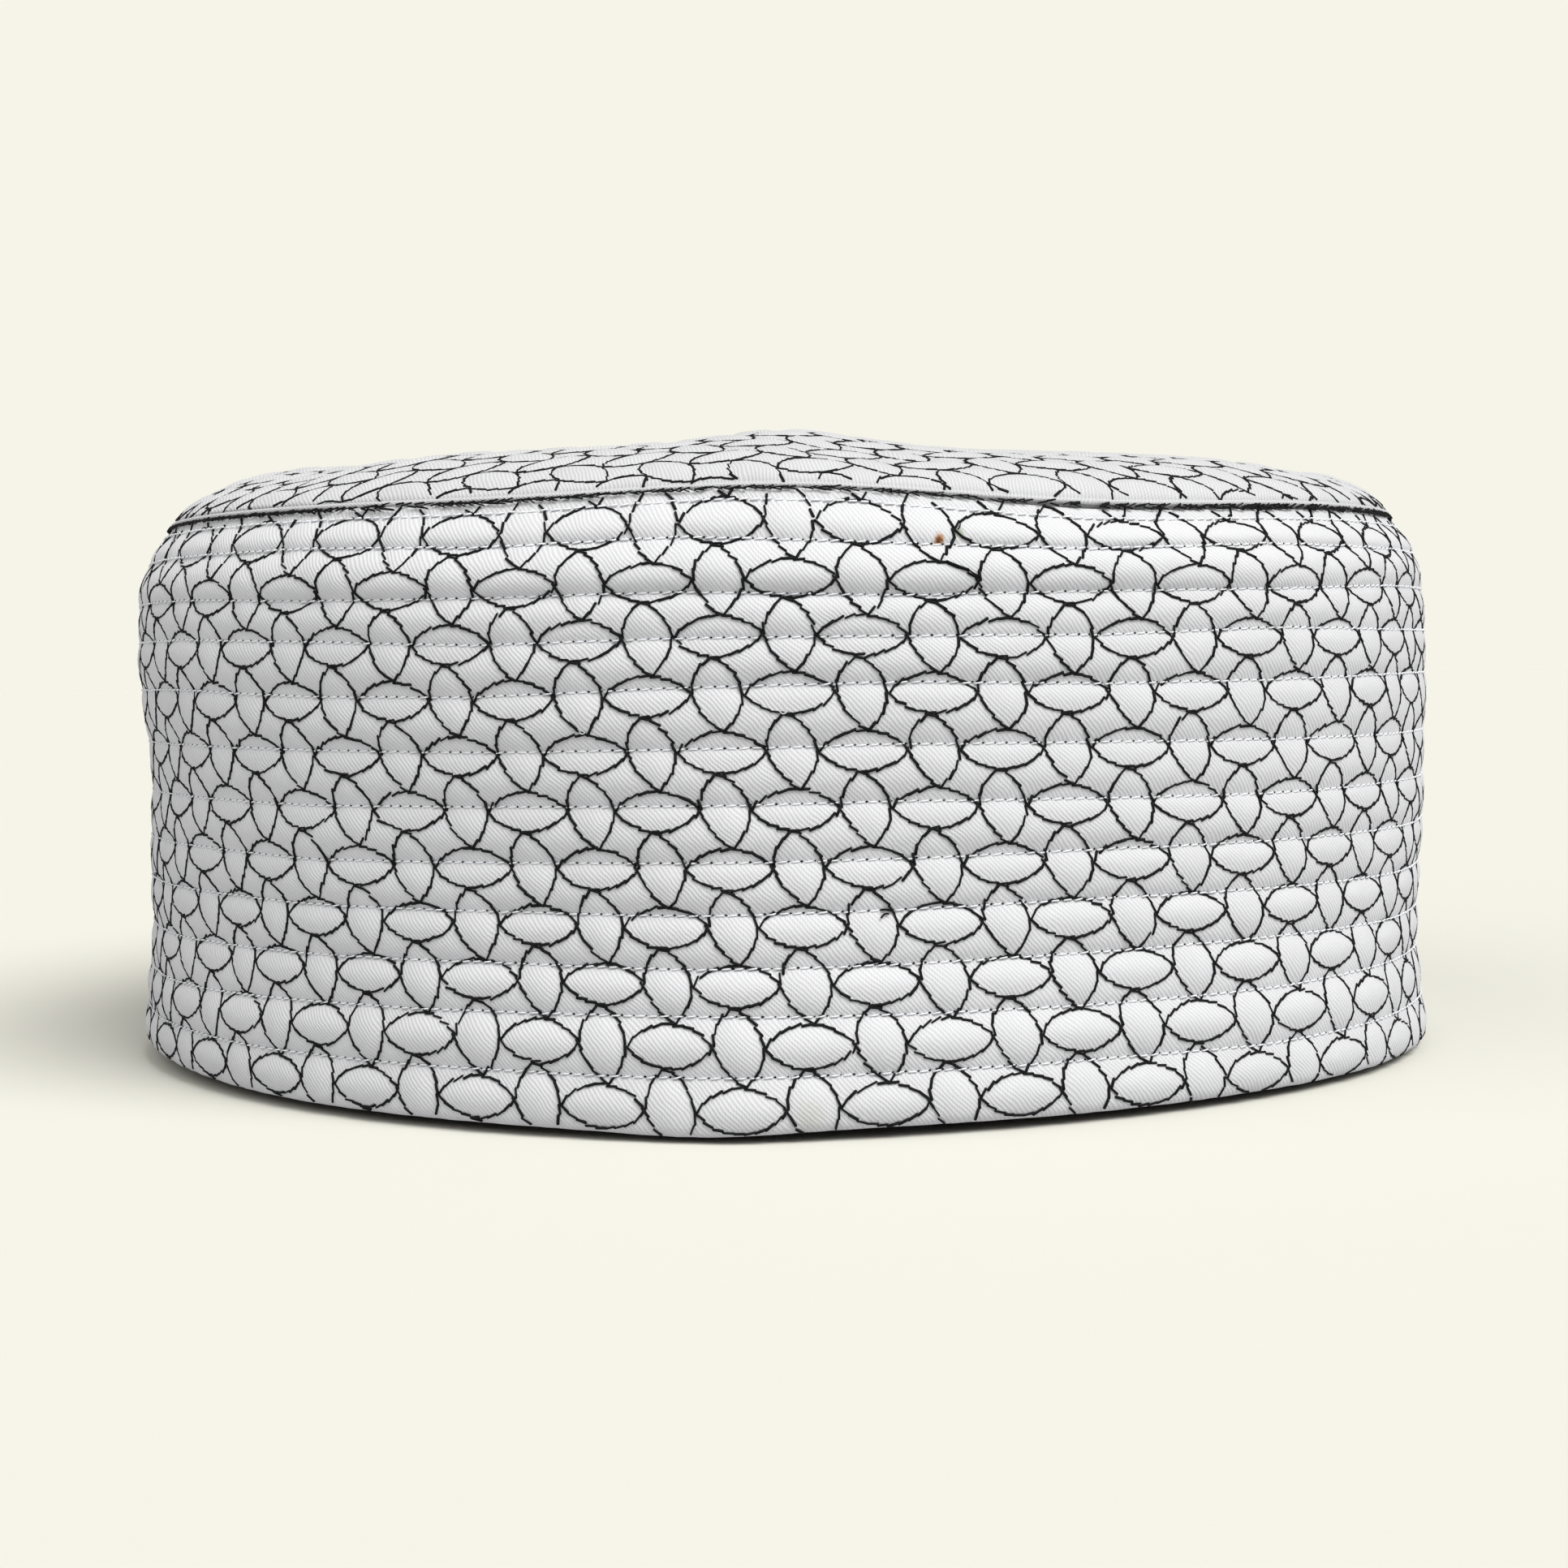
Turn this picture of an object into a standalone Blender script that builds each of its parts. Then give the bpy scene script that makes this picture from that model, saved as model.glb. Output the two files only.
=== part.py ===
"""A quilted white prayer cap, standing on its hem.

Two sewn pieces: side_band, a hollow ring of padded cloth with level quilted ribs, and crown, a low
domed disc sewn into the band's top edge. Metres, +Z up, the hem on Z = 0, the front towards -Y.
"""

import math

import bpy
import numpy as np

MM = 0.001

# Driving sizes
BASE_RADIUS = 90.6 * MM  # outside of the band where no fold swells it
SEAM_HEIGHT = 73.3 * MM  # mean height of the crown seam above the hem
EDGE_RISE = 6.4 * MM  # the crown's edge turns up this far, steeply
TOP_RISE = 3.8 * MM  # and the crown then swells this much more towards its middle
BAND_WALL = 3.2 * MM  # padded cloth, two layers
CROWN_WALL = 2.4 * MM
SEWN_GAP = 0.3 * MM  # between the two sewn edges
RIB_BULGE = 0.7 * MM  # how far a rib swells between two quilting rows
SEAM_LEAN = math.radians(40)  # how far the band's top edge leans in from upright
HEM_ROUND = 0.5 * MM  # rounding of the hem's two corners
SEGMENTS = 72  # round the cap
SHARP_ANGLE = math.radians(50)  # edges steeper than this stay crisp

# The plan is a circle with soft folds. Angles in degrees from the front, positive towards +X;
# swell in millimetres, at the hem and at the crown seam.
# name, angle at hem, angle at seam, half width, swell at hem, swell at seam
PLAN_FOLDS = (
    ("left hip", -86, -68, 32, 4.0, 2.9),
    ("right hip", 62, 56, 28, 3.7, 3.5),
    ("front dip", -18, -18, 15, 0.0, -1.4),
)
# Creases where the cap is folded flat for the pocket.
# name, angle, half width, swell at hem, swell at seam
CREASES = (
    ("front", -4, 14, 3.4, -1.0),
    ("back", 180, 14, 1.6, 0.4),
)
CREASE_SOFTNESS = 2.5  # degrees over which a crease's edge is rounded

# Side view of the band: height of each station and how far it stands outside BASE_RADIUS.
# height mm, outset mm
BAND_PROFILE = (
    (0.0, 0.2),
    (7.0, 0.3),
    (20.0, -0.6),
    (37.0, 0.0),
    (50.0, 0.9),
    (60.0, 1.1),
    (66.0, 0.5),
    (70.0, -1.3),
    (73.3, -3.8),
)

# Heights of the white quilting rows above the hem, in millimetres. A rib swells between each two.
ROW_HEIGHTS = (6.6, 13.4, 19.1, 25.3, 31.2, 37.7, 44.1, 51.0, 56.9, 62.2, 68.2, 71.9)
RIB_STATIONS = (0.0, 1 / 3, 2 / 3)  # shares of the way from one row to the next

# The inside of the band is smooth: heights of its stations, top to bottom, in millimetres
INSIDE_HEIGHTS = (67.0, 60.0, 50.0, 37.0, 20.0, 8.0)

# The crown seam isn't quite level.
# name, angle, half width, rise mm
SEAM_WAVES = (
    ("front peak", -1, 16, 1.3),
    ("right sag", 27, 16, -0.9),
)
SEAM_TILT = 0.9 * MM  # left side up, right side down
WAVE_START = 56.0 * MM  # below this height the rows are level

# Crown
EDGE_POWER = 5  # how narrow the steep edge of the dome is
RIDGE_HEIGHT = 1.7 * MM  # fold line that runs from front to back
RIDGE_HALF_WIDTH = 12.0 * MM
LIP_OUTSET = 0.5 * MM  # turned edge standing proud of the seam
LIP_TALL = 1.6 * MM
LIP_STATIONS = ((1.0, 0.3), (0.6, 0.8))  # shares of the lip's outset and height
OUTER_RINGS = (0.99, 0.97, 0.93, 0.87, 0.78, 0.65, 0.48, 0.28, 0.12)  # shares of the rim's radius
INNER_RINGS = (0.98, 0.93, 0.85, 0.72, 0.52, 0.28)

# Soft swells of the crown, all in millimetres.
# name, x, y, radius, rise
CROWN_SWELLS = (("left shoulder", -70, -20, 20, 2.2),)


def angles(count):
    """Evenly spaced angles round the cap, 0 at the front."""
    return np.arange(count) * 2 * math.pi / count


def from_angle(theta, degrees):
    """Signed distance in degrees from a direction, the short way round."""
    return (np.degrees(theta) - degrees + 180) % 360 - 180


def smooth_table(x, rows):
    """Catmull-Rom curve through a table of (x, y) rows, level past its ends."""
    xs, ys = np.array(rows, float).T
    slopes = np.gradient(ys, xs)
    x = np.clip(x, xs[0], xs[-1])
    i = np.clip(np.searchsorted(xs, x, side="right") - 1, 0, len(xs) - 2)
    step = xs[i + 1] - xs[i]
    t = (x - xs[i]) / step
    return (
        (2 * t**3 - 3 * t**2 + 1) * ys[i]
        + (t**3 - 2 * t**2 + t) * step * slopes[i]
        + (3 * t**2 - 2 * t**3) * ys[i + 1]
        + (t**3 - t**2) * step * slopes[i + 1]
    )


def smooth_step(x):
    """0 below 0, 1 above 1, smooth between."""
    t = np.clip(x, 0, 1)
    return t * t * (3 - 2 * t)


def plan_swell(theta, level):
    """How far the plan stands outside the circle; level is 0 at the hem and 1 at the seam."""
    swell = np.zeros(np.broadcast(theta, level).shape)
    for _, hem_angle, seam_angle, half_width, at_hem, at_seam in PLAN_FOLDS:
        middle = hem_angle + (seam_angle - hem_angle) * level
        away = from_angle(theta, middle) / half_width
        swell = swell + (at_hem + (at_seam - at_hem) * level) * np.exp(-(away**2))
    for _, angle, half_width, at_hem, at_seam in CREASES:
        away = np.hypot(from_angle(theta, angle), CREASE_SOFTNESS) - CREASE_SOFTNESS
        swell = swell + (at_hem + (at_seam - at_hem) * level) * np.exp(-away / half_width)
    return swell * MM


def seam_wave(theta):
    """Height of the crown seam above or below its mean."""
    wave = -SEAM_TILT * np.sin(theta)
    for _, angle, half_width, rise in SEAM_WAVES:
        wave = wave + rise * MM * np.exp(-((from_angle(theta, angle) / half_width) ** 2))
    return wave


def band_point(theta, height, inset=0.0):
    """Radius and true height of the band's skin at a nominal height; inset goes into the wall."""
    level = height / SEAM_HEIGHT
    outset = smooth_table(height / MM, BAND_PROFILE) * MM
    radius = BASE_RADIUS + outset + plan_swell(theta, level) - inset
    raised = seam_wave(theta) * smooth_step((height - WAVE_START) / (SEAM_HEIGHT - WAVE_START))
    return radius, height + raised


def band_section(theta):
    """Closed cross-section of the band at one angle: up the outside, over the edge, down the inside."""
    rows = [0.0, *(h * MM for h in ROW_HEIGHTS)]
    section = []
    radius, _ = band_point(theta, 0.0)
    section.append((radius - HEM_ROUND, 0.0))
    section.append((radius, HEM_ROUND))
    for low, high in zip(rows, rows[1:]):
        for share in RIB_STATIONS:
            if low + share == 0.0:
                continue
            radius, height = band_point(theta, low + (high - low) * share)
            section.append((radius + RIB_BULGE * 4 * share * (1 - share), height))
    radius, height = band_point(theta, rows[-1])
    section.append((radius, height))
    edge_radius, edge_height = band_point(theta, SEAM_HEIGHT)
    section.append((edge_radius, edge_height))
    section.append(
        (
            edge_radius - BAND_WALL * math.cos(SEAM_LEAN),
            edge_height - BAND_WALL * math.sin(SEAM_LEAN),
        )
    )
    for height in INSIDE_HEIGHTS:
        section.append(band_point(theta, height * MM, inset=BAND_WALL))
    radius, _ = band_point(theta, 0.0)
    section.append((radius - BAND_WALL, HEM_ROUND))
    section.append((radius - BAND_WALL + HEM_ROUND, 0.0))
    return section


def dome(share):
    """Height of the dome, 1 in the middle and 0 at its edge, at a share of its radius."""
    rise = EDGE_RISE * (1 - share**EDGE_POWER) ** 0.5 + TOP_RISE * (1 - share**2)
    return rise / (EDGE_RISE + TOP_RISE)


def crown_relief(theta, radius, share):
    """Rise of the crown's fold line and swells; none at the edge, where share is 1."""
    x, y = radius * math.sin(theta), -radius * math.cos(theta)
    rise = RIDGE_HEIGHT * math.exp(-((x / RIDGE_HALF_WIDTH) ** 2))
    for _, at_x, at_y, reach, height in CROWN_SWELLS:
        away = math.hypot(x - at_x * MM, y - at_y * MM) / (reach * MM)
        rise += height * MM * math.exp(-(away**2))
    return rise * (1 - share**12)


def crown_section(theta):
    """Outside and inside of the crown at one angle, each from the rim inwards, without the middle."""
    edge_radius, edge_height = band_point(theta, SEAM_HEIGHT)
    rim_radius = edge_radius - SEWN_GAP * math.sin(SEAM_LEAN)
    rim_height = edge_height + SEWN_GAP * math.cos(SEAM_LEAN)
    inner_radius = rim_radius - CROWN_WALL * math.cos(SEAM_LEAN)
    inner_height = rim_height - CROWN_WALL * math.sin(SEAM_LEAN)
    middle = SEAM_HEIGHT + EDGE_RISE + TOP_RISE

    outside = [(rim_radius, rim_height)]
    for out, up in LIP_STATIONS:
        outside.append((rim_radius + out * LIP_OUTSET, rim_height + up * LIP_TALL))
    for share in OUTER_RINGS:
        radius = rim_radius * share
        height = rim_height + (middle - rim_height) * dome(share)
        outside.append((radius, height + crown_relief(theta, radius, share)))
    inside = [(inner_radius, inner_height)]
    for share in INNER_RINGS:
        radius = inner_radius * share
        height = inner_height + (middle - CROWN_WALL - inner_height) * dome(share)
        inside.append((radius, height + crown_relief(theta, radius, share)))
    return outside, inside


def plan_centre():
    """Middle of the band's bounding box, so that the part can be set on its own centre."""
    sections = [band_section(theta) for theta in angles(SEGMENTS)]
    x = [r * math.sin(t) for t, s in zip(angles(SEGMENTS), sections) for r, _ in s]
    y = [-r * math.cos(t) for t, s in zip(angles(SEGMENTS), sections) for r, _ in s]
    return (min(x) + max(x)) / 2, (min(y) + max(y)) / 2


def place(theta, radius, height, centre):
    """A point of a section in space."""
    return (radius * math.sin(theta) - centre[0], -radius * math.cos(theta) - centre[1], height)


def make_object(name, points, faces, material):
    """A mesh object from points and faces, shaded smooth but for its sharp edges."""
    mesh = bpy.data.meshes.new(name)
    mesh.from_pydata(points, [], faces)
    mesh.validate()
    mesh.shade_smooth()
    mesh.set_sharp_from_angle(angle=SHARP_ANGLE)
    piece = bpy.data.objects.new(name, mesh)
    bpy.context.scene.collection.objects.link(piece)
    mesh.materials.append(material)
    return piece


def cloth(name, colour):
    """White cotton twill."""
    material = bpy.data.materials.new(name)
    material.use_nodes = True
    shader = material.node_tree.nodes["Principled BSDF"]
    shader.inputs["Base Color"].default_value = (*colour, 1.0)
    shader.inputs["Roughness"].default_value = 0.85
    shader.inputs["Metallic"].default_value = 0.0
    return material


def ring_faces(count, start, end):
    """Quads between two rings of points, facing out where end lies above start on an outside."""
    return [
        (start + i, start + (i + 1) % count, end + (i + 1) % count, end + i) for i in range(count)
    ]


def make_side_band(centre):
    """The quilted wall of the cap: its cross-section carried round the plan and closed."""
    turns = angles(SEGMENTS)
    sections = [band_section(theta) for theta in turns]
    stations = len(sections[0])
    points = [
        place(theta, *sections[i][k], centre) for k in range(stations) for i, theta in enumerate(turns)
    ]
    faces = []
    for k in range(stations):
        faces += ring_faces(SEGMENTS, k * SEGMENTS, (k + 1) % stations * SEGMENTS)
    return make_object("side_band", points, faces, cloth("band_twill", (0.86, 0.86, 0.86)))


def make_crown(centre):
    """The domed top: outside and inside skins joined at the rim, each closed by a fan in the middle."""
    turns = angles(SEGMENTS)
    sections = [crown_section(theta) for theta in turns]
    outer_rings = len(sections[0][0])
    inner_rings = len(sections[0][1])
    points = []
    for k in range(outer_rings):
        points += [place(t, *sections[i][0][k], centre) for i, t in enumerate(turns)]
    for k in range(inner_rings):
        points += [place(t, *sections[i][1][k], centre) for i, t in enumerate(turns)]
    top = len(points)
    peak = SEAM_HEIGHT + EDGE_RISE + TOP_RISE + crown_relief(0.0, 0.0, 0.0)
    points.append(place(0.0, 0.0, peak, centre))
    points.append(place(0.0, 0.0, peak - CROWN_WALL, centre))
    faces = []
    for k in range(outer_rings - 1):
        faces += ring_faces(SEGMENTS, k * SEGMENTS, (k + 1) * SEGMENTS)
    inner_start = outer_rings * SEGMENTS
    for k in range(inner_rings - 1):
        faces += ring_faces(SEGMENTS, inner_start + (k + 1) * SEGMENTS, inner_start + k * SEGMENTS)
    faces += ring_faces(SEGMENTS, inner_start, 0)
    last_outer = (outer_rings - 1) * SEGMENTS
    last_inner = inner_start + (inner_rings - 1) * SEGMENTS
    for i in range(SEGMENTS):
        j = (i + 1) % SEGMENTS
        faces.append((last_outer + i, last_outer + j, top))
        faces.append((last_inner + j, last_inner + i, top + 1))
    return make_object("crown", points, faces, cloth("crown_twill", (0.88, 0.88, 0.88)))


def main():
    """Clears the scene and builds the cap."""
    for old in list(bpy.data.objects):
        bpy.data.objects.remove(old)
    centre = plan_centre()
    make_side_band(centre)
    make_crown(centre)


main()
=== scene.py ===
import math

import bpy
import numpy as np
from mathutils import Matrix


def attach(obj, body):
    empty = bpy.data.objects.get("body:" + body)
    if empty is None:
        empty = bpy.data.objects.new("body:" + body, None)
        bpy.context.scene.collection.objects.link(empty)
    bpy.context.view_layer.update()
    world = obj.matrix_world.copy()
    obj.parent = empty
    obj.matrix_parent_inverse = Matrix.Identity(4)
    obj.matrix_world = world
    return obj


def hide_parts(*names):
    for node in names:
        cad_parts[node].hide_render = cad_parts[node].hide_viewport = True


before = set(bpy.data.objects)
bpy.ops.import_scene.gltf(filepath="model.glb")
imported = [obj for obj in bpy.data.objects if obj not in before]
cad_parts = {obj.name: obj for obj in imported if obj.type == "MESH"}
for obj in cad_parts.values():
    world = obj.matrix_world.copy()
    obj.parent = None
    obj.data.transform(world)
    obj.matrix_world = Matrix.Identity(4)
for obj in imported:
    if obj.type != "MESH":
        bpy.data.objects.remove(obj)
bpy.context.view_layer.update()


# The studio: a pale cream floor without a horizon, a broad soft light high on the right, a weak one on the
# left, dim light from all round, and the camera low in front of the cap, as in the photo.
BACKDROP = (246, 244, 232)  # as it shows on screen
CAMERA_PLACE = (0.0010, -0.3745, 0.05725)
CAMERA_DOWN = 3.21  # degrees below level
CAMERA_ROLL = -1.04
CAMERA_LENS = 56.8  # mm
ASIDE_SHARE = -0.0015  # the cap stands this share of the picture right of its middle
FLOOR_RADIUS = 4.0
ROOM_LIGHT = (0.25, 0.45)  # level with the floor, and overhead
# name, strength, degrees above the floor, degrees right of the camera, degrees across
SOFT_LIGHTS = (
    ("key_light", 3.0, 52, 42, 40),
    ("fill_light", 0.7, 45, -60, 60),
)
FLOOR_BOUNCE = 0.55  # share of the light that the paper throws back onto the cap


def on_screen(colour):
    """Linear colour of a screen colour from 0 to 255, by the sRGB curve."""
    share = np.array(colour) / 255
    return tuple(np.where(share <= 0.04045, share / 12.92, ((share + 0.055) / 1.055) ** 2.4))


def make_mesh(name, points, faces, maps=None):
    """A smooth mesh of points in metres and a list of face arrays; maps holds a (u, v) per corner."""
    corners = np.concatenate([f.ravel() for f in faces])
    sizes = np.concatenate([np.full(len(f), f.shape[1]) for f in faces])
    mesh = bpy.data.meshes.new(name)
    mesh.vertices.add(len(points))
    mesh.vertices.foreach_set("co", np.ascontiguousarray(points, np.float32).ravel())
    mesh.loops.add(len(corners))
    mesh.loops.foreach_set("vertex_index", corners.astype(np.int32))
    mesh.polygons.add(len(sizes))
    mesh.polygons.foreach_set("loop_start", (np.cumsum(sizes) - sizes).astype(np.int32))
    mesh.polygons.foreach_set("use_smooth", np.ones(len(sizes), bool))
    mesh.update(calc_edges=True)
    for map_name, uv in (maps or {}).items():
        layer = mesh.uv_layers.new(name=map_name)
        layer.data.foreach_set("uv", np.ascontiguousarray(uv, np.float32).ravel())
    mesh.validate()
    piece = bpy.data.objects.new(name, mesh)
    bpy.context.scene.collection.objects.link(piece)
    return piece


def closed_rings(rings, around):
    """Quads between neighbouring rings of a grid that closes on itself round the cap."""
    ring, step = np.meshgrid(np.arange(rings - 1), np.arange(around), indexing="ij")
    low = ring * around
    after = (step + 1) % around
    quads = np.stack([low + step, low + after, low + around + after, low + around + step], -1)
    return quads.reshape(-1, 4)


def feed(tree, node, inputs):
    """Gives each input of a node its value, or links it to the socket that it reads."""
    for name, value in inputs.items():
        if isinstance(value, bpy.types.NodeSocket):
            tree.links.new(value, node.inputs[name])
        else:
            node.inputs[name].default_value = value


def add_node(tree, kind, inputs=None, **settings):
    """A shader node with its settings made and its inputs fed."""
    node = tree.nodes.new("ShaderNode" + kind)
    for name, value in settings.items():
        setattr(node, name, value)
    feed(tree, node, inputs or {})
    return node


def mixed(tree, factor, a, b, **settings):
    """Colour between a and b, by a Mix node."""
    inputs = {"Factor": factor, "A": a, "B": b}
    return add_node(tree, "Mix", inputs, data_type="RGBA", **settings).outputs["Result"]


def new_material(name):
    """A material, its node tree and its shader."""
    material = bpy.data.materials.new(name)
    material.use_nodes = True
    return material, material.node_tree, material.node_tree.nodes["Principled BSDF"]


floor_rings = np.array([0.05, 0.4, 1.2, FLOOR_RADIUS])
floor_turn = np.linspace(0, 2 * np.pi, 96, endpoint=False)
floor_r, floor_t = np.meshgrid(floor_rings, floor_turn, indexing="ij")
floor_points = np.stack([floor_r * np.cos(floor_t), floor_r * np.sin(floor_t), 0 * floor_r], -1)
floor_faces = [closed_rings(len(floor_rings), len(floor_turn))[:, ::-1], np.arange(len(floor_turn))[None]]
floor = make_mesh("studio_floor", floor_points.reshape(-1, 3), floor_faces)
room_on_floor = ROOM_LIGHT[0] / 3 + ROOM_LIGHT[1] * 2 / 3
floor_light = room_on_floor + sum(
    strength * math.sin(math.radians(height)) / math.pi for _, strength, height, _, _ in SOFT_LIGHTS
)
paper, paper_tree, paper_shader = new_material("cream_paper")
paper_colour = mixed(
    paper_tree,
    add_node(paper_tree, "LightPath").outputs["Is Camera Ray"],
    (FLOOR_BOUNCE, FLOOR_BOUNCE, FLOOR_BOUNCE, 1),
    (*(np.array(on_screen(BACKDROP)) / floor_light), 1),
)
paper_look = {"Base Color": paper_colour, "Roughness": 1.0, "Specular IOR Level": 0.0}
feed(paper_tree, paper_shader, paper_look)
floor.data.materials.append(paper)

room = bpy.data.worlds.new("room")
room.use_nodes = True
room_tree = room.node_tree
shown = room_tree.nodes["Background"]
feed(room_tree, shown, {"Color": (*on_screen(BACKDROP), 1)})
direction = add_node(room_tree, "TexCoord").outputs["Generated"]
upward = add_node(room_tree, "SeparateXYZ", {0: direction}).outputs["Z"]
strengths = {"Value": upward, "To Min": ROOM_LIGHT[0], "To Max": ROOM_LIGHT[1]}
brighter_above = add_node(room_tree, "MapRange", strengths).outputs["Result"]
lit = add_node(room_tree, "Background", {"Color": (1, 1, 1, 1), "Strength": brighter_above})
seen = add_node(room_tree, "LightPath").outputs["Is Camera Ray"]
either = add_node(room_tree, "MixShader", {0: seen, 1: lit.outputs[0], 2: shown.outputs[0]})
feed(room_tree, room_tree.nodes["World Output"], {"Surface": either.outputs[0]})
bpy.context.scene.world = room
bpy.context.scene.view_settings.view_transform = "Standard"

for name, strength, height, aside, width in SOFT_LIGHTS:
    light_data = bpy.data.lights.new(name, "SUN")
    light_data.energy = strength
    light_data.angle = math.radians(width)
    light = bpy.data.objects.new(name, light_data)
    light.matrix_world = Matrix.Rotation(math.radians(aside), 4, "Z") @ Matrix.Rotation(
        math.radians(90 - height), 4, "X"
    )
    bpy.context.scene.collection.objects.link(light)

camera_data = bpy.data.cameras.new("camera")
camera_data.lens = CAMERA_LENS
camera_data.sensor_width = 36
camera_data.shift_x = ASIDE_SHARE
camera_data.clip_start = 0.01
camera = bpy.data.objects.new("camera", camera_data)
camera.matrix_world = (
    Matrix.Translation(CAMERA_PLACE)
    @ Matrix.Rotation(math.radians(90 - CAMERA_DOWN), 4, "X")
    @ Matrix.Rotation(math.radians(CAMERA_ROLL), 4, "Z")
)
bpy.context.scene.collection.objects.link(camera)
bpy.context.scene.camera = camera


# The side band: a strip of white cotton twill over thin padding, sewn to a ring, its hem folded under. Level
# rows of stitching pull it into soft ribs, and wavy quilting puffs it into lying and standing lenses. Sizes
# are in millimetres, angles in degrees from the front and positive towards +X.
MM = 0.001
BASE_RADIUS = 90.6
SEAM_HEIGHT = 73.3
BAND_WALL = 3.2
SEAM_LEAN = math.radians(40)
PLAN_CENTRE = (-1.014, -0.643)  # middle of the plan's box, which the part stands on
# name, angle at hem, angle at seam, half width, swell at hem, swell at seam
PLAN_FOLDS = (
    ("left hip", -86, -68, 32, 4.0, 2.9),
    ("right hip", 62, 56, 28, 3.7, 3.5),
    ("front dip", -18, -18, 15, 0.0, -1.4),
)
# name, angle, half width, swell at hem, swell at seam
CREASES = (
    ("front", -4, 14, 3.4, -1.0),
    ("back", 180, 14, 1.6, 0.4),
)
CREASE_SOFTNESS = 2.5
# name, angle, height, half width, half height, how far out
SIDE_SWELLS = (
    ("left shoulder", -88, 60.0, 26, 5.0, -0.4),
    ("left step", -88, 46.0, 26, 8.0, -1.0),
    ("left dent", -88, 38.0, 26, 8.0, -1.1),
    ("left hem", -88, 2.0, 26, 5.0, 0.5),
    ("right shoulder", 88, 65.0, 26, 4.0, -1.0),
    ("right belly", 88, 33.0, 26, 8.0, 0.8),
    ("right waist", 88, 57.0, 26, 6.0, -0.9),
    ("right hem", 88, 11.0, 26, 8.0, -1.6),
)
# height, how far it stands outside BASE_RADIUS
BAND_PROFILE = (
    (0.0, 0.2), (7.0, 0.3), (20.0, -0.6), (37.0, 0.0), (50.0, 0.9),
    (60.0, 1.1), (66.0, 0.5), (70.0, -1.3), (73.3, -3.8),
)
ROW_HEIGHTS = (6.5, 13.25, 19.0, 25.15, 31.05, 37.5, 43.95, 50.85, 56.75, 62.05, 68.15, 71.9)
ROW_ANGLES = (-56, -40, -24, -8, 8, 24, 40, 56)
ROW_FADE = (130, 70)  # it has faded out at this angle from the front, over this many degrees
# how far each white row was sewn above its mean height, as measured between photo and render
ROW_RISE = (
    (0.0, 0.05, 0.2, 0.2, 0.15, 0.1, -0.4, -0.15),
    (-0.5, 0.0, 0.3, 0.4, 0.1, -0.15, -0.25, 0.05),
    (0.0, 0.1, 0.35, 0.0, 0.1, 0.3, 0.3, -0.05),
    (0.5, 0.2, 0.25, 0.05, 0.3, 0.55, 0.2, -0.15),
    (0.45, -0.05, 0.15, 0.25, 0.3, 0.5, 0.2, 0.05),
    (0.5, 0.2, 0.3, 0.4, 0.55, 0.1, -0.4, -0.3),
    (0.9, 0.6, 0.3, 0.5, 0.7, 0.3, -0.15, -0.45),
    (1.2, 0.25, -0.05, 0.7, 1.0, 0.3, 0.25, 0.5),
    (1.8, 1.1, 0.15, 0.5, 0.35, 0.1, 0.75, 0.35),
    (1.7, 0.75, 0.4, 0.55, -0.3, -0.05, 0.15, 0.8),
    (1.0, 0.9, 0.15, 0.45, -0.45, -1.3, -0.3, -0.4),
    (0.3, 0.3, 0.1, 0.2, 0.0, -0.3, -0.1, -0.1),
)
RIB_BULGE = 0.75
RIB_SIDES = 0.60  # share of the bulge that is missing at the sides, where the cloth is pulled smooth
RIB_TOP = (0.35, 57, 5)  # the top ribs bulge this much more, from this height up, coming in over so much
RIB_DROP = 0.55  # the rows lie this much inside the smooth outline, and the ribs come out to it
HEM_ROUND = 1.1
# name, angle, half width, rise
SEAM_WAVES = (
    ("front peak", -1, 16, 1.3),
    ("right sag", 27, 16, -0.9),
    ("right end", 84, 18, 0.4),
)
SEAM_TILT = 0.9
WAVE_START = 66.0
FRONT_CLEARANCE = 1.0  # the cap stands on the back of its hem, its front this clear of the floor
CAP_DEPTH = 187.0
HEM_WAVES = (
    ("left end", -92, 34, 1.75),
    ("front crease", -7, 7, -0.45),
    ("front bay", 12, 12, 0.1),
)

REPEATS = 35  # lens repeats round the band
ROW_STEP = 6.7  # between two rows of lenses on the flat cloth
# where the rows of lenses come to lie on the band
LENS_ROWS = (-3.9, 3.1, 10.2, 17.1, 23.8, 30.6, 37.4, 44.1, 50.7, 57.3, 63.8, 70.0, 76.7)
FIRST_LENS = 10.7  # the first lying lens, right of the front
PATTERN_LEAN = 2.3 / 75
DRIFT_ANGLES = (-60, -40, -22, 0, 20, 40, 60)
DRIFT_ROWS = (0, 10, 23.5, 37, 47, 57, 67)  # height in the pattern
DRIFT_FADE = (86, 22)  # it has faded out at this angle from the front, over this many degrees
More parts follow.
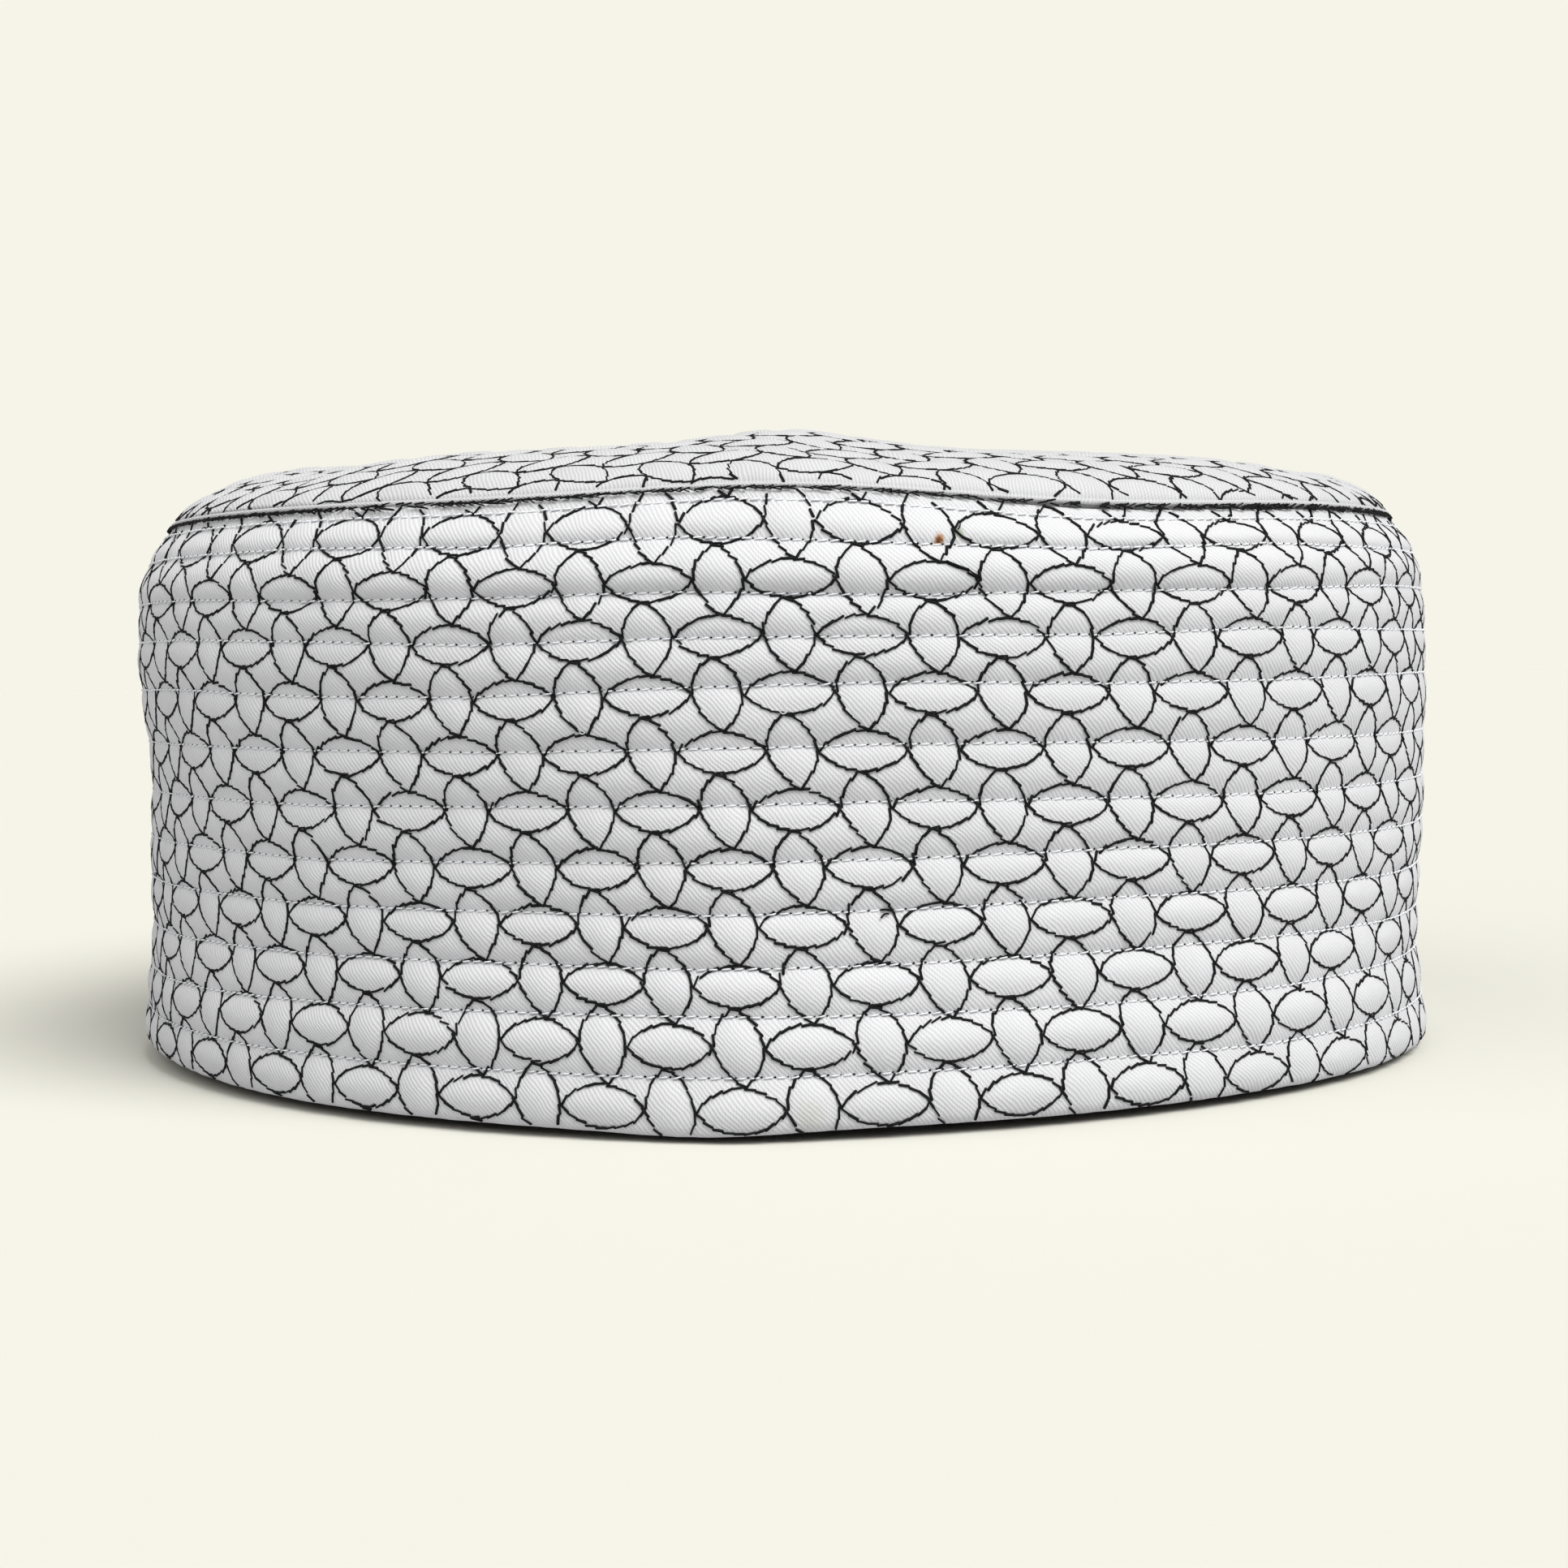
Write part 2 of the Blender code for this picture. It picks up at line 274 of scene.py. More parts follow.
# how far the pattern was sewn out of true, aside and up, as measured between photo and render
DRIFT = (
    (
        (0.0, 0.3, 0.75, 0.1, -0.1, 0.9, 2.0),
        (1.5, 1.0, 1.3, 0.0, -0.35, 0.4, 0.8),
        (0.0, 0.2, 0.95, -0.15, -0.5, 0.4, 0.4),
        (0.2, -0.2, 0.2, -0.3, -0.5, 0.2, -0.6),
        (0.2, -0.7, -0.7, -0.4, -0.2, 0.3, 0.1),
        (-0.1, -0.6, -0.25, 0.15, 0.6, 1.2, 0.6),
        (-1.0, -0.2, 0.45, 0.6, 0.75, 1.1, -0.5),
    ),
    (
        (0.3, 0.2, 0.25, -0.2, 0.1, -0.4, -0.3),
        (0.8, 0.35, 0.4, 0.0, 0.15, -0.35, -0.35),
        (0.2, -0.1, 0.05, 0.0, -0.2, -0.75, -0.7),
        (0.25, -0.2, -0.15, 0.0, -0.3, -0.95, -1.05),
        (0.1, -0.2, -0.35, 0.2, -0.55, -0.9, -0.9),
        (0.15, 0.0, -0.25, 0.3, -0.9, -1.05, -1.3),
        (0.2, 0.1, -0.4, 0.2, -1.2, -0.95, -1.4),
    ),
)
LYING_HALF = (5.15, 2.4)  # half length and half height of a lying lens
LYING_POWERS = (1.8, 0.7)  # how round its arcs are, and how blunt at their ends
STANDING_HALF = (2.9, 4.4)  # half width and half height of a standing lens
STANDING_POWERS = {1: 1.85, -1: 2.4}  # how round its half is that hangs from the upper wave, or the lower
STANDING_LEAN = 0.12
PUFF = 0.20  # how far the cloth stands up between two threads
LENS_PUFF = 0.12  # and this much more inside a lens
SEWN_WIDTH = 1.0  # half width of the dip along a thread

BAND_COLUMNS = 660
RIB_SHARES = np.array([0, 0.035, 0.12, 0.22, 0.33, 0.44, 0.56, 0.67, 0.78, 0.88, 0.965])
TOP_STATIONS = (71.9, 72.4, 72.9, SEAM_HEIGHT)
INSIDE_HEIGHTS = (70.0, 66.0, 61.0, 54.0, 45.0, 33.0, 20.0, 8.0)
# how far in from the outside at the hem, height
HEM_SECTION = ((3.2, 1.2), (3.0, 0.3), (2.6, 0.0), (2.0, 0.0))


def smooth_table(x, rows):
    """Catmull-Rom curve through a table of (x, y) rows, level past its ends."""
    xs, ys = np.array(rows, float).T
    slopes = np.gradient(ys, xs)
    x = np.clip(x, xs[0], xs[-1])
    i = np.clip(np.searchsorted(xs, x, side="right") - 1, 0, len(xs) - 2)
    step = xs[i + 1] - xs[i]
    t = (x - xs[i]) / step
    return (
        (2 * t**3 - 3 * t**2 + 1) * ys[i]
        + (t**3 - 2 * t**2 + t) * step * slopes[i]
        + (3 * t**2 - 2 * t**3) * ys[i + 1]
        + (t**3 - t**2) * step * slopes[i + 1]
    )


def smooth_step(x):
    """0 below 0, 1 above 1, and 3x^2 - 2x^3 between."""
    t = np.clip(x, 0, 1)
    return t * t * (3 - 2 * t)


def from_angle(theta, degrees):
    """Signed distance in degrees from a direction, the short way round."""
    return (np.degrees(theta) - degrees + 180) % 360 - 180


def bell(theta, degrees, half_width):
    """Bell curve round the cap: 1 in a direction and 1/e at half_width degrees from it."""
    return np.exp(-((from_angle(theta, degrees) / half_width) ** 2))


def plan_radius(theta, height):
    """Outside radius: circle plus side profile plus a bell curve for each fold, which turns with height,
    and a sharper crease at the front and the back."""
    level = np.clip(height / SEAM_HEIGHT, 0, 1)
    swell = 0
    for _, hem_angle, seam_angle, half_width, at_hem, at_seam in PLAN_FOLDS:
        peak = bell(theta, hem_angle + (seam_angle - hem_angle) * level, half_width)
        swell = swell + (at_hem + (at_seam - at_hem) * level) * peak
    for _, angle, half_width, at_hem, at_seam in CREASES:
        away = np.hypot(from_angle(theta, angle), CREASE_SOFTNESS) - CREASE_SOFTNESS
        swell = swell + (at_hem + (at_seam - at_hem) * level) * np.exp(-away / half_width)
    return BASE_RADIUS + smooth_table(height, BAND_PROFILE) + swell


def add_bells(curve, theta, rows):
    """A curve round the cap with bell curves added to it: rows of name, angle, half width, rise."""
    for _, angle, half_width, rise in rows:
        curve = curve + rise * bell(theta, angle, half_width)
    return curve


def seam_wave(theta):
    """Height of the crown seam off its mean: one turn of a sine, and its waves."""
    return add_bells(-SEAM_TILT * np.sin(theta), theta, SEAM_WAVES)


plan_turn = np.linspace(-np.pi, np.pi, 2881)
plan_r = plan_radius(plan_turn, SEAM_HEIGHT / 2)
plan_steps = np.hypot(np.diff(plan_r * np.sin(plan_turn)), np.diff(plan_r * np.cos(plan_turn)))
plan_arc = np.concatenate([[0], np.cumsum(plan_steps)])
plan_arc -= np.interp(0, plan_turn, plan_arc)
GIRTH = plan_arc[-1] - plan_arc[0]
REPEAT = GIRTH / REPEATS


def angle_at(arc):
    """Angle round the cap of a distance along the band from the front."""
    return np.interp((arc - plan_arc[0]) % GIRTH + plan_arc[0], plan_arc, plan_turn)


def lying_arc(share):
    """Height of a lying lens's arc at a share s of its half length: b (1 - |s|^p)^q."""
    return LYING_HALF[1] * (1 - np.minimum(np.abs(share), 1) ** LYING_POWERS[0]) ** LYING_POWERS[1]


def wave_stretch(side):
    """One repeat of a row's upper (side 1) or lower (side -1) wave: along a lying lens's arc, then round
    the far half of a standing one, x = w (1 - |y/h|^n) either side of its middle."""
    share = np.sin(np.linspace(-np.pi / 2, np.pi / 2, 61))
    down = np.linspace(0, 1, 41)
    out = STANDING_HALF[0] * (1 - down ** STANDING_POWERS[side])
    x = np.concatenate([LYING_HALF[0] * share, REPEAT / 2 - out, REPEAT / 2 + out[::-1]])
    y = np.concatenate([lying_arc(share), -STANDING_HALF[1] * down, -STANDING_HALF[1] * down[::-1]])
    return x + np.where(x > LYING_HALF[0], STANDING_LEAN * -side * y, 0), side * y


def puff_tile(across, tall):
    """Rise of the quilted cloth over one repeat, two rows tall: level with the thread at a wave, and
    1 - exp(-(d/w)^2) of the puff at a distance d from the nearest wave; more inside a lens."""
    x = (np.arange(across) + 0.5) / across * REPEAT
    y = (np.arange(tall) + 0.5) / tall * 2 * ROW_STEP
    x, y = np.meshgrid(x, y)
    waves = [wave_stretch(1), wave_stretch(-1)]
    nearest = np.full(x.shape, 9.0)
    inside = np.zeros(x.shape, bool)
    for row in (-1, 0, 1, 2):
        for turn in (-1, 0, 1, 2):
            middle_x = (turn - 0.5 * (row % 2)) * REPEAT
            middle_y = row * ROW_STEP
            for wave_x, wave_y in waves:
                away = np.hypot(x[..., None] - (middle_x + wave_x), y[..., None] - (middle_y + wave_y))
                nearest = np.minimum(nearest, away.min(-1))
            from_x, from_y = x - middle_x, y - middle_y
            lying = np.abs(from_y) < lying_arc(from_x / LYING_HALF[0])
            from_x = from_x - REPEAT / 2 + STANDING_LEAN * from_y
            share = np.abs(from_y / STANDING_HALF[1])
            power = np.where(from_y > 0, STANDING_POWERS[-1], STANDING_POWERS[1])
            standing = np.abs(from_x) < STANDING_HALF[0] * (1 - np.minimum(share, 1) ** power)
            inside |= lying | standing
    return (1 - np.exp(-((nearest / SEWN_WIDTH) ** 2))) * (PUFF + LENS_PUFF * inside)


tile = puff_tile(96, 80)


def puff(x, y):
    """Rise of the quilted cloth at a place in the pattern, read between the points of the tile."""
    column = (x / REPEAT % 1) * tile.shape[1] - 0.5
    row = (y / (2 * ROW_STEP) % 1) * tile.shape[0] - 0.5
    left, low = np.floor(column).astype(int), np.floor(row).astype(int)
    across, up = column - left, row - low
    right, high = (left + 1) % tile.shape[1], (low + 1) % tile.shape[0]
    left, low = left % tile.shape[1], low % tile.shape[0]
    return (tile[low, left] * (1 - across) + tile[low, right] * across) * (1 - up) + (
        tile[high, left] * (1 - across) + tile[high, right] * across
    ) * up


def read_chart(chart, columns, rows, x, y):
    """A table's value at a place between its columns and rows, level past its edges."""
    column = np.interp(x, columns, np.arange(len(columns)))
    row = np.interp(y, rows, np.arange(len(rows)))
    left = np.minimum(column.astype(int), len(columns) - 2)
    low = np.minimum(row.astype(int), len(rows) - 2)
    across, up = column - left, row - low
    chart = np.array(chart)
    below = chart[low, left] * (1 - across) + chart[low, left + 1] * across
    above = chart[low + 1, left] * (1 - across) + chart[low + 1, left + 1] * across
    return below * (1 - up) + above * up


def drift(arc, y):
    """How far the pattern lies aside of and above its place on the band, read from DRIFT."""
    degrees = np.degrees(angle_at(arc))
    fade = smooth_step((DRIFT_FADE[0] - np.abs(degrees)) / DRIFT_FADE[1])
    return [read_chart(chart, DRIFT_ANGLES, DRIFT_ROWS, degrees, y) * fade for chart in DRIFT]


def row_drop(theta, height):
    """How far a white row lies below its mean height, read from ROW_RISE and less near the hem."""
    degrees = from_angle(theta, 0)
    rise = read_chart(ROW_RISE, ROW_ANGLES, ROW_HEIGHTS, degrees, height)
    fade = smooth_step((ROW_FADE[0] - np.abs(degrees)) / ROW_FADE[1])
    return -rise * fade * smooth_step(height / 6)


def rib(height):
    """Swell between two white rows: 1 - (2s - 1)^2 at a share s of the way from one to the next."""
    edges = np.array([-0.8, *ROW_HEIGHTS, SEAM_HEIGHT + 0.6])
    i = np.clip(np.searchsorted(edges, height, side="right") - 1, 0, len(edges) - 2)
    share = (height - edges[i]) / (edges[i + 1] - edges[i])
    size = RIB_BULGE * np.clip((edges[i + 1] - edges[i]) / 6, 0.4, 1.1)
    return size * (1 - (2 * np.clip(share, 0, 1) - 1) ** 2)


even_rows = ROW_STEP * (np.arange(len(LENS_ROWS)) - 1)


def pattern_spot(arc, height):
    """Place in the quilting pattern of a place on the band: even rows, and the drift taken off."""
    y = np.interp(height, LENS_ROWS, even_rows)
    aside, higher = drift(arc, y)
    return arc - FIRST_LENS + PATTERN_LEAN * height - aside, y - higher


def band_spot(x, y):
    """Place on the band of a place in the quilting pattern, the other way round."""
    height = np.interp(y, even_rows, LENS_ROWS)
    arc = x + FIRST_LENS - PATTERN_LEAN * height
    aside, higher = drift(arc, y)
    return arc + aside, np.interp(y + higher, even_rows, LENS_ROWS)


def soft_dents(theta, height):
    """Shallow dents of limp cloth: crossed sines of different lengths, and a bell for each swell."""
    dents = 0.20 * np.sin(9 * theta + height / 13) * np.sin(height / 17 + 2 * theta)
    dents = dents + 0.12 * np.sin(21 * theta - height / 9 + 1.3)
    dents = dents * smooth_step(height / 8) * (1 - smooth_step((height - 62) / 9))
    for _, angle, middle, half_width, half_height, out in SIDE_SWELLS:
        away = (from_angle(theta, angle) / half_width) ** 2 + ((height - middle) / half_height) ** 2
        dents = dents + out * np.exp(-away)
    return dents


def cap_point(theta, radius, height):
    """A point in space, in metres, from an angle, a radius and a height in millimetres, on a cap tipped back
    until its front is clear of the floor."""
    x = radius * np.sin(theta) - PLAN_CENTRE[0]
    y = -radius * np.cos(theta) - PLAN_CENTRE[1]
    tip = 0.5 - y / CAP_DEPTH
    return np.stack(np.broadcast_arrays(x, y, height + tip * FRONT_CLEARANCE), -1) * MM


def hem_rise(theta):
    """How far the hem stands off the level: small ripples, and its waves."""
    ripple = 0.10 + 0.07 * np.sin(7 * theta + 1.0) * np.cos(4 * theta)
    return add_bells(ripple, theta, HEM_WAVES)


def raised(theta, height):
    """True height of a height along the cloth: the seam's wave at the top, the hem's at the bottom."""
    wave = seam_wave(theta) * smooth_step((height - WAVE_START) / (SEAM_HEIGHT - WAVE_START))
    return height + wave + hem_rise(theta) * (1 - smooth_step(height / 10))


def band_skin(arc, height):
    """Outside of the band at a distance along it and a height: plan, profile, ribs, dents, puffs."""
    theta = angle_at(arc)
    relief = puff(*pattern_spot(arc, height)) * smooth_step((SEAM_HEIGHT - height) / 2 + 0.2)
    hem = HEM_ROUND - np.sqrt(HEM_ROUND**2 - np.clip(HEM_ROUND - height, 0, HEM_ROUND) ** 2)
    depth = (1 - RIB_SIDES * np.sin(theta) ** 4) * smooth_step((SEAM_HEIGHT - height) / 4 + 0.3)
    depth = depth * (1 + RIB_TOP[0] * smooth_step((height - RIB_TOP[1]) / RIB_TOP[2]))
    ribs = (rib(height + row_drop(theta, height)) - RIB_DROP) * depth
    radius = plan_radius(theta, height) + ribs + relief
    return cap_point(theta, radius + soft_dents(theta, height) - hem, raised(theta, height))


def corner_map(faces, values, turn_length):
    """A (u, v) for each corner of grid faces; where a face closes the ring, u runs past the full turn."""
    uv = values[faces]
    wraps = (uv[..., 0].max(1) - uv[..., 0].min(1)) > turn_length / 2
    uv[..., 0] += turn_length * (wraps[:, None] & (uv[..., 0] < uv[..., 0].mean(1)[:, None]))
    return uv.reshape(-1, 2)


rib_edges = np.array([0.0, *ROW_HEIGHTS])
stations = (rib_edges[:-1, None] + np.diff(rib_edges)[:, None] * RIB_SHARES).ravel()
stations = np.concatenate([stations, TOP_STATIONS])
band_arc = plan_arc[0] + GIRTH * np.arange(BAND_COLUMNS) / BAND_COLUMNS
band_turn = angle_at(band_arc)
grid_h, grid_arc = np.meshgrid(stations, band_arc, indexing="ij")
grid_h = grid_h - row_drop(band_turn, grid_h) * (grid_h > 0)
outside = band_skin(grid_arc, grid_h)

seam_radius = plan_radius(band_turn, SEAM_HEIGHT)
seam_height = raised(band_turn, SEAM_HEIGHT)
wall_in = np.array([0.35, 0.7, 1.0])[:, None] * BAND_WALL
over_edge = cap_point(
    band_turn, seam_radius - wall_in * math.cos(SEAM_LEAN), seam_height - wall_in * math.sin(SEAM_LEAN)
)
inside_h = np.array(INSIDE_HEIGHTS)[:, None]
inside_radius = plan_radius(band_turn, inside_h) + soft_dents(band_turn, inside_h) - BAND_WALL
inside = cap_point(band_turn, inside_radius, raised(band_turn, inside_h))
hem_in, hem_h = np.array(HEM_SECTION).T[:, :, None]
under_hem = cap_point(band_turn, plan_radius(band_turn, 0.0) - hem_in, raised(band_turn, hem_h))

band_points = np.concatenate([outside, over_edge, inside, under_hem, outside[:1]])
rings = len(band_points) - 1
band_faces = closed_rings(rings + 1, BAND_COLUMNS)
hem_line = rings * BAND_COLUMNS
inside_along = SEAM_HEIGHT + np.linspace(1, 80, rings - len(stations))
heights_along = np.concatenate([stations, inside_along, [-0.8]])
cloth_place = np.stack(np.meshgrid(band_arc, heights_along), -1).reshape(-1, 2)
band_map = corner_map(band_faces, cloth_place, GIRTH)
band_faces = np.where(band_faces >= hem_line, band_faces - hem_line, band_faces)
band_points = band_points[:-1].reshape(-1, 3)
side_band = make_mesh("quilted_side_band", band_points, [band_faces], {"cloth": band_map})


def node_group(name, places, numbers, results):
    """A node group with vector inputs, number inputs that have a usual value, and number outputs."""
    tree = bpy.data.node_groups.new(name, "ShaderNodeTree")
    for label in places:
        tree.interface.new_socket(label, in_out="INPUT", socket_type="NodeSocketVector")
    for label, usual in numbers.items():
        socket = tree.interface.new_socket(label, in_out="INPUT", socket_type="NodeSocketFloat")
        socket.default_value = usual
    for label in results:
        tree.interface.new_socket(label, in_out="OUTPUT", socket_type="NodeSocketFloat")
    return tree, tree.nodes.new("NodeGroupInput").outputs, tree.nodes.new("NodeGroupOutput")


def number(tree, operation, *values):
    """Result of a Math node on sockets or plain numbers."""
    return add_node(tree, "Math", dict(enumerate(values)), operation=operation).outputs[0]


def twill_group():
    """Twill weave as a node group: slanting wales are a sine across their pitch, cut into yarns by a second
    sine along them, on coordinates that noise shifts a little. Gives the weave's height and its shade."""
    usual = {"Pitch": 0.46, "Slant": 0.82, "Yarn": 0.40}
    tree, given, result = node_group("twill", ["Place"], usual, ["Height", "Shade"])
    shift = add_node(tree, "TexNoise", {"Vector": given["Place"], "Scale": 0.22, "Detail": 2})
    x, y, _ = add_node(tree, "SeparateXYZ", {0: given["Place"]}).outputs
    sine, cosine = number(tree, "SINE", given["Slant"]), number(tree, "COSINE", given["Slant"])
    across = number(
        tree, "ADD", number(tree, "MULTIPLY", x, sine), number(tree, "MULTIPLY", y, cosine)
    )
    across = number(tree, "ADD", across, number(tree, "MULTIPLY", shift.outputs[0], 1.1))
    along = number(
        tree, "SUBTRACT", number(tree, "MULTIPLY", x, cosine), number(tree, "MULTIPLY", y, sine)
    )
    turns = number(tree, "MULTIPLY", number(tree, "DIVIDE", across, given["Pitch"]), 2 * math.pi)
    yarn_turns = number(tree, "MULTIPLY", number(tree, "DIVIDE", along, given["Yarn"]), 2 * math.pi)
    wale = number(tree, "SINE", turns)
    yarn = number(tree, "SINE", number(tree, "ADD", yarn_turns, turns))
    fuzz_look = {"Vector": given["Place"], "Scale": 3.5, "Detail": 4, "Roughness": 0.7}
    fuzz = number(tree, "MULTIPLY", add_node(tree, "TexNoise", fuzz_look).outputs[0], 0.5)
    height = number(
        tree, "ADD", number(tree, "MULTIPLY", wale, 0.34), number(tree, "MULTIPLY", yarn, 0.12)
    )
    height = number(tree, "ADD", number(tree, "ADD", height, fuzz), 0.25)
    shade = add_node(tree, "MapRange", {"Value": height, "From Min": 0.15, "From Max": 0.85})
    feed(tree, result, {"Height": height, "Shade": shade.outputs["Result"]})
    return tree


def spot_group():
    """A stain as a node group: 1 at its middle and 0 past its radius, its edge broken up by noise."""
    tree, given, result = node_group("spot", ["Place", "Middle"], {"Radius": 1.0}, ["Mask"])
    away = add_node(tree, "VectorMath", {0: given["Place"], 1: given["Middle"]}, operation="DISTANCE")
    ragged = add_node(tree, "TexNoise", {"Vector": given["Place"], "Scale": 1.6, "Detail": 5})
    share = number(tree, "DIVIDE", away.outputs["Value"], given["Radius"])
    fade = {"Value": number(tree, "ADD", share, ragged.outputs[0]), "From Min": 1.4, "From Max": 0.7}
    mask = add_node(tree, "MapRange", fade, interpolation_type="SMOOTHSTEP")
    feed(tree, result, {"Mask": mask.outputs["Result"]})
    return tree


twill = twill_group()
spot = spot_group()


def white_twill(name, slant, lit_crest, shaded_valley, stains=()):
    """White twill: woven height into a bump, and on the base colour painted shade of the weave, running by
    the weave's height from a shaded valley colour to a lit crest colour, then soiling noise and stains.
    stains rows: middle x, middle y, radius, strength, colour."""
    material, tree, shader = new_material(name)
    place = add_node(tree, "UVMap", uv_map="cloth").outputs["UV"]
    weave = add_node(tree, "Group", {"Place": place, "Slant": slant}, node_tree=twill).outputs
    # painted shade: the weave's valleys are coloured darker and its crests lighter, as light falls across
    # the wales
    colour = mixed(tree, weave["Shade"], (*shaded_valley, 1), (*lit_crest, 1))
    cloudy = add_node(tree, "TexNoise", {"Vector": place, "Scale": 0.09, "Detail": 3})
    colour = mixed(tree, cloudy.outputs[0], colour, SOIL, blend_type="MULTIPLY")
    for x, y, radius, strength, stain_colour in stains:
        mark = {"Place": place, "Middle": (x, y, 0), "Radius": radius}
        mask = add_node(tree, "Group", mark, node_tree=spot).outputs["Mask"]
        colour = mixed(tree, number(tree, "MULTIPLY", mask, strength), colour, (*stain_colour, 1))
    rough = add_node(tree, "MapRange", {"Value": weave["Shade"], "To Min": 0.95, "To Max": 0.80})
    bump = add_node(
        tree, "Bump", {"Strength": 1.0, "Distance": WEAVE_DEPTH, "Height": weave["Height"]}
    )
    look = {
        "Base Color": colour,
        "Roughness": rough.outputs["Result"],
        "Normal": bump.outputs["Normal"],
        "Specular IOR Level": 0.25,
        "Sheen Weight": 0.15,
        "Sheen Roughness": 0.5,
    }
    feed(tree, shader, look)
    return material


# painted light of the band's weave: the crest colour is a painted highlight, the valley colour painted shade
WHITE_LIT_CREST = (0.765, 0.765, 0.775)
WHITE_SHADED_VALLEY = (0.64, 0.64, 0.65)
SOIL = (0.93, 0.93, 0.92, 1)
WEAVE_DEPTH = 0.00006  # metres
RUST = (0.42, 0.20, 0.07)
DARK_RUST = (0.13, 0.05, 0.02)
SMUDGE = (0.55, 0.55, 0.44)
MOSS = (0.30, 0.36, 0.22)  # the fluff of a greenish thread
# arc, height, radius, strength, colour
BAND_STAINS = (
    (18.5, 68.7, 1.0, 1.0, RUST),
    (18.5, 68.6, 0.6, 1.0, DARK_RUST),
    (21.1, 69.6, 1.1, 0.6, MOSS),
    (2.0, 2.2, 2.6, 0.35, SMUDGE),
)
side_band.data.materials.append(
    white_twill("band_twill", math.radians(47), WHITE_LIT_CREST, WHITE_SHADED_VALLEY, BAND_STAINS)
)
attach(side_band, "root")
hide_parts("side_band")


# The black wave quilting of the band: two mirrored waves of lockstitch to a row of lenses, in black cotton
# thread. Each stitch is a short grain turned a little from the line, which makes it look like rope.
STITCH = 1.25
STITCH_OVERLAP = 1.26  # length of a grain over the distance between two
BLACK_RADIUS = 0.175
BLACK_LIFT = 0.07  # of its line off the cloth
BLACK_SIDES = (0.15, 0.09)  # share by which it is thinner at the sides, and how much deeper it lies
STITCH_TURN = math.radians(8)
TURN_STRAY = 0.07  # radians by which one stitch's turn differs from the next
LINE_STRAY = 0.05  # how far it lies off the line
LENGTH_SPREAD = (0.9, 1.08)  # shares of the length
RADIUS_SPREAD = (0.75, 1.2)
# lit colour and shaded colour of the black thread: painted shade between its plies
BLACK_LIT_AND_SHADED = ((0.012, 0.012, 0.013), (0.002, 0.002, 0.002))
PLY_DEPTH = 0.00003  # metres
# name, from this height, to this height
BLACK_PARTS = (("lower", 0, 24.5), ("middle", 24.5, 49.5), ("upper", 49.5, 80))
# share along a grain, share of its radius, how many radii it lies above its line
BLACK_GRAIN = ((-0.42, 0.95, 0.15), (0.42, 1.0, 0.15))
BLACK_DIP = -0.4  # the two ends go this many radii down into the cloth
GRAIN_SIDES = 5


def fan(a, b, tip):
    """Triangles from pairs of points to one more point, all by their numbers."""
    return np.stack([a, b, np.full(len(a), tip)], -1)


def grains(name, centre, along, normal, length, radius, section, dip, sides=GRAIN_SIDES):
    """Stitches as grains: rings of a section carried along each stitch, closed to a point at both ends,
    which lie dip radii off the line."""
    t, thick, lift = np.array(section).T
    count, rings_each = len(centre), len(section)
    side = np.cross(along, normal)
    turn = (np.arange(sides) + 0.5) * 2 * np.pi / sides
    length = np.broadcast_to(length, count)[:, None]
    radius = np.broadcast_to(radius, count)[:, None] * MM
    ring_centre = centre[:, None] + along[:, None] * (t * length * MM)[..., None]
    ring_centre = ring_centre + normal[:, None] * (lift * radius)[..., None]
    out = side[:, None] * np.cos(turn)[:, None] + normal[:, None] * np.sin(turn)[:, None]
    ring_points = ring_centre[:, :, None] + out[:, None] * (thick * radius)[..., None, None]
    ends = centre[:, None] + along[:, None] * (np.array([-0.5, 0.5]) * length * MM)[..., None]
    ends = ends + normal[:, None] * (dip * radius)[..., None]
    points = np.concatenate([ring_points.reshape(count, -1, 3), ends], 1)
    quads = closed_rings(rings_each, sides)
    step = np.arange(sides)
    after = (step + 1) % sides
    last = (rings_each - 1) * sides
    first_end = rings_each * sides
    caps = np.concatenate([fan(after, step, first_end), fan(last + step, last + after, first_end + 1)])
    start = (np.arange(count) * points.shape[1])[:, None, None]
    lengthwise = np.concatenate([np.repeat(t, sides), [-0.5, 0.5]])
    round_it = np.concatenate([np.tile(turn / (2 * np.pi), rings_each), [0.5, 0.5]])
    thread_place = np.stack([lengthwise, round_it], -1)
    faces = [quads[:, ::-1], caps[:, ::-1]]
    corner_places = [np.tile(thread_place[f].reshape(-1, 2), (count, 1)) for f in faces]
    faces = [(start + f).reshape(-1, f.shape[1]) for f in faces]
    return make_mesh(name, points.reshape(-1, 3), faces, {"thread": np.concatenate(corner_places)})


def spun_thread(name, lit_and_shaded, roughness):
    """Sewing thread: plies wind round it as slanting bands, a sine of its length and turn, with fuzz; the
    base colour follows them from a shaded to a lit colour, painted shade of the plies mixed with random
    tone.
    """
    material, tree, shader = new_material(name)
    place = add_node(tree, "UVMap", uv_map="thread").outputs["UV"]
    bands = {0: place, 1: (5 * 2 * math.pi, 2 * math.pi, 0)}
    slanted = add_node(tree, "VectorMath", bands, operation="DOT_PRODUCT").outputs["Value"]
    where = add_node(tree, "TexCoord").outputs["Object"]
    fuzz = add_node(tree, "TexNoise", {"Vector": where, "Scale": 900, "Detail": 3}).outputs[0]
    level = number(tree, "MULTIPLY_ADD", number(tree, "SINE", slanted), 0.3, fuzz)
    light, shaded = lit_and_shaded
    bump = add_node(tree, "Bump", {"Distance": PLY_DEPTH, "Height": level})
    look = {
        "Base Color": mixed(tree, level, (*shaded, 1), (*light, 1)),
        "Normal": bump.outputs["Normal"],
        "Roughness": roughness,
        "Specular IOR Level": 0.15,
    }
    feed(tree, shader, look)
    return material


def unit(vectors):
    """The same directions, one long."""
    return vectors / np.linalg.norm(vectors, axis=-1, keepdims=True)


